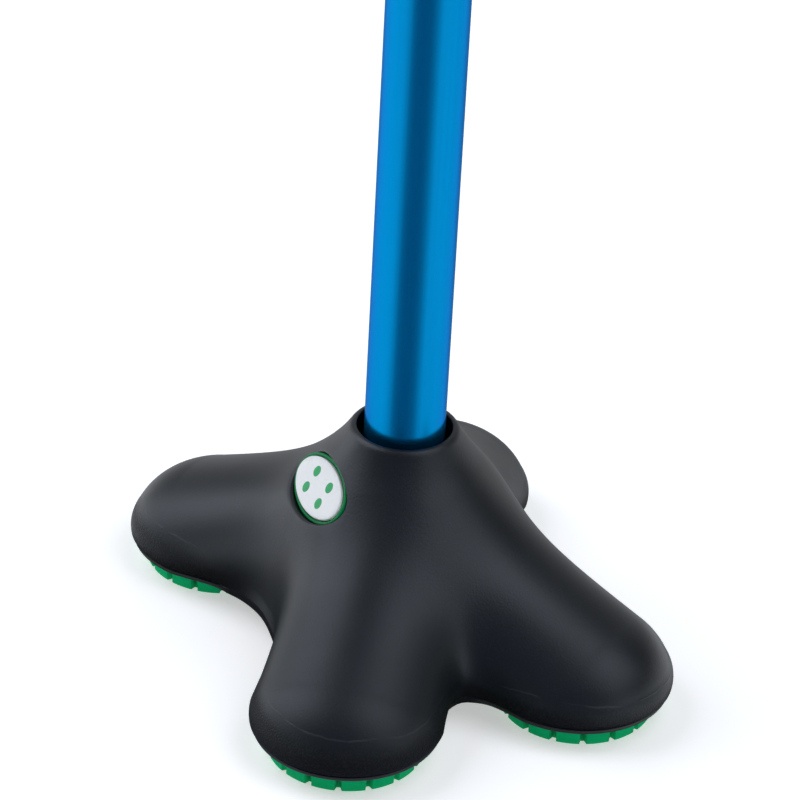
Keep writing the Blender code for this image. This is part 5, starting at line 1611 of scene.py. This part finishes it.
# %% [markdown]
# ## The grip
#
# The grip is a sleeve of soft foam pushed over the tube: level on top, with two shallow hollows for
# the fingers below, and fine ribs round its lower half so that it doesn't slip. It is a surface over
# the share of its length and the angle round it. A domed cap closes the tube's end, and a grey ring
# finishes the grip's front.

# %% Grip
GRIP_RADIUS = highest("hand_grip")[2] - HANDLE_AXIS
GRIP_NARROWNESS = 0.88
GRIP_FRONT = highest("hand_grip")[0]
GRIP_REAR = lowest("hand_grip")[0]
GRIP_BORE = UPPER_TUBE_RADIUS + GAP
FINGER_DEPTH = 2.6 * MM
FINGER_HOLLOWS = 2
GRIP_END_EASE = 2.2 * MM
GRIP_TAPER = 1.4 * MM
RIB_PITCH = 3.2 * MM
RIB_HEIGHT = 0.4 * MM
RIBS_BELOW = (-0.15, 0.35)  # the ribs set in between these shares of the way down
RIBS_FROM_END = (0.08, 0.14)  # and between these shares of the length
ROW_CROWDING = 0.15


def grip_points(rows=300, columns=120):
    """Half-width, rise and drop at each share of the length, each less a taper and an eased end; the
    ribs are taken off the lower half only. The rows crowd a little towards both ends."""
    t = np.linspace(0.0, 1.0, rows)[:, None]
    share = (0.5 - 0.5 * np.cos(math.pi * t)) * ROW_CROWDING + t * (1 - ROW_CROWDING)
    from_end = np.minimum(share, 1 - share)
    turn = np.linspace(0.0, math.tau, columns, endpoint=False)[None, :]
    length = GRIP_FRONT - GRIP_REAR
    left = np.clip(1 - from_end * length / GRIP_END_EASE, 0.0, 1.0)
    ease = GRIP_END_EASE * (1 - np.sqrt(1 - left**2))
    taper = GRIP_TAPER * (2 * share - 1) ** 6
    hollow = FINGER_DEPTH * (1 - np.cos(share * FINGER_HOLLOWS * math.tau)) / 2
    ribbed = smooth_step(-np.sin(turn), *RIBS_BELOW) * smooth_step(from_end, *RIBS_FROM_END)
    rib = RIB_HEIGHT * (0.5 - 0.5 * np.cos(share * length / RIB_PITCH * math.tau)) * ribbed
    half_width = GRIP_RADIUS * GRIP_NARROWNESS - taper - ease - rib
    height = GRIP_RADIUS - ease - rib - np.where(np.sin(turn) > 0, taper, np.maximum(taper, hollow))
    outside = [GRIP_FRONT - length * share + 0.0 * turn, half_width * np.cos(turn), height * np.sin(turn)]
    x = np.linspace(GRIP_REAR, GRIP_FRONT, 12)[:, None] + 0.0 * turn
    inside = [x, GRIP_BORE * np.cos(turn) + 0.0 * x, GRIP_BORE * np.sin(turn) + 0.0 * x]
    points = np.concatenate([np.stack(side, axis=-1) for side in (outside, inside)])
    return points + (0.0, 0.0, HANDLE_AXIS)


make_piece("hand_grip", [grid(grip_points(), join_rows=True)], GRIP_FOAM, sharp=50.0)

# %% Grip ring and end cap
RING_RADIUS = highest("grip_front_ring")[2] - HANDLE_AXIS
RING_EDGE = 0.36  # share of the ring's length that its slope takes
RING_NARROW = 0.6  # how far its front reaches from the bore to its full radius
CAP_RADIUS = highest("grip_end_cap")[2] - HANDLE_AXIS
CAP_LENGTH = 7.0 * MM

ring_front, ring_rear = highest("grip_front_ring")[0], lowest("grip_front_ring")[0]
ring_length = ring_front - ring_rear
ring_profile = [
    (RING_RADIUS, ring_length),
    (RING_RADIUS, ring_length * RING_EDGE),
    (GRIP_BORE + (RING_RADIUS - GRIP_BORE) * RING_NARROW, 0.0),
    (GRIP_BORE, 0.0),
    (GRIP_BORE, ring_length),
]
ring_lay = {"along": (-1, 0, 0), "origin": (ring_front, 0.0, HANDLE_AXIS)}
turned_piece("grip_front_ring", ring_profile, GREY_PLASTIC, radius=0.7 * MM, **ring_lay)

cap_inner = lowest("grip_end_cap")[0] + CAP_LENGTH
cap_insert, insert_depth = UPPER_TUBE_BORE - GAP, cap_inner - highest("grip_end_cap")[0]
cap_profile = [
    *arc(CAP_RADIUS, CAP_LENGTH, 90.0, 0.0, 24),
    (cap_insert, 0.0),
    (cap_insert, insert_depth),
    (0.0, insert_depth),
]
cap_lay = {"along": (-1, 0, 0), "origin": (cap_inner, 0.0, HANDLE_AXIS)}
turned_piece("grip_end_cap", cap_profile, STIFF_BLACK, radius=0.4 * MM, closed=False, **cap_lay)

# %% [markdown]
# ## Under the base
#
# Four countersunk screws hold the sole plate to the core. Their heads have a cross recess: a height
# taken off the head where a point lies within either arm of the cross. The plate and the core keep
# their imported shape, which is right as it is, and only get their materials.

# %% Sole screws
SCREW_RADIUS = 1.5 * MM
SCREW_HEAD = 2.0 * MM
SCREW_EDGE = 0.8 * MM
SCREW_POINT = 0.6 * MM
CROSS_REACH = 1.7 * MM
CROSS_HALF_WIDTH = 0.35 * MM
CROSS_DEPTH = 1.1 * MM
CROSS_EASE = 0.1 * MM


def screw_points(packed):
    """A turned screw, head down, with a cross cut into its head."""
    low, high = heights(packed)
    head_radius = (highest(packed) - lowest(packed))[0] / 2
    outline = [
        *((radius, low) for radius in np.linspace(0.0, head_radius * 0.75, 16)),
        (head_radius, low + SCREW_EDGE),
        (head_radius, low + SCREW_HEAD),
        (SCREW_RADIUS, low + SCREW_HEAD),
        (SCREW_RADIUS, high - SCREW_POINT),
        (SCREW_RADIUS * 0.5, high),
        (0.0, high),
    ]
    points = spun(outline, steps=64)
    x, y, z = np.abs(points[..., 0]), np.abs(points[..., 1]), points[..., 2]
    wide, narrow = np.maximum(x, y), np.minimum(x, y)
    arm = smooth_step(narrow, CROSS_HALF_WIDTH + CROSS_EASE, CROSS_HALF_WIDTH - CROSS_EASE)
    arm = arm * smooth_step(wide, CROSS_REACH, CROSS_REACH - 3 * CROSS_EASE) * (z < low + 0.01 * MM)
    points[..., 2] += CROSS_DEPTH * arm
    return points + middle(packed) * (1.0, 1.0, 0.0)


for number in range(1, 5):
    packed = f"sole_screw_{number}"
    make_piece(packed, [grid(screw_points(packed))], STEEL)

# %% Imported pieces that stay
for packed in ("hub_core", "sole_plate"):
    kept = frame["nodes"][packed]
    kept.data.materials.clear()
    kept.data.materials.append(STIFF_BLACK)
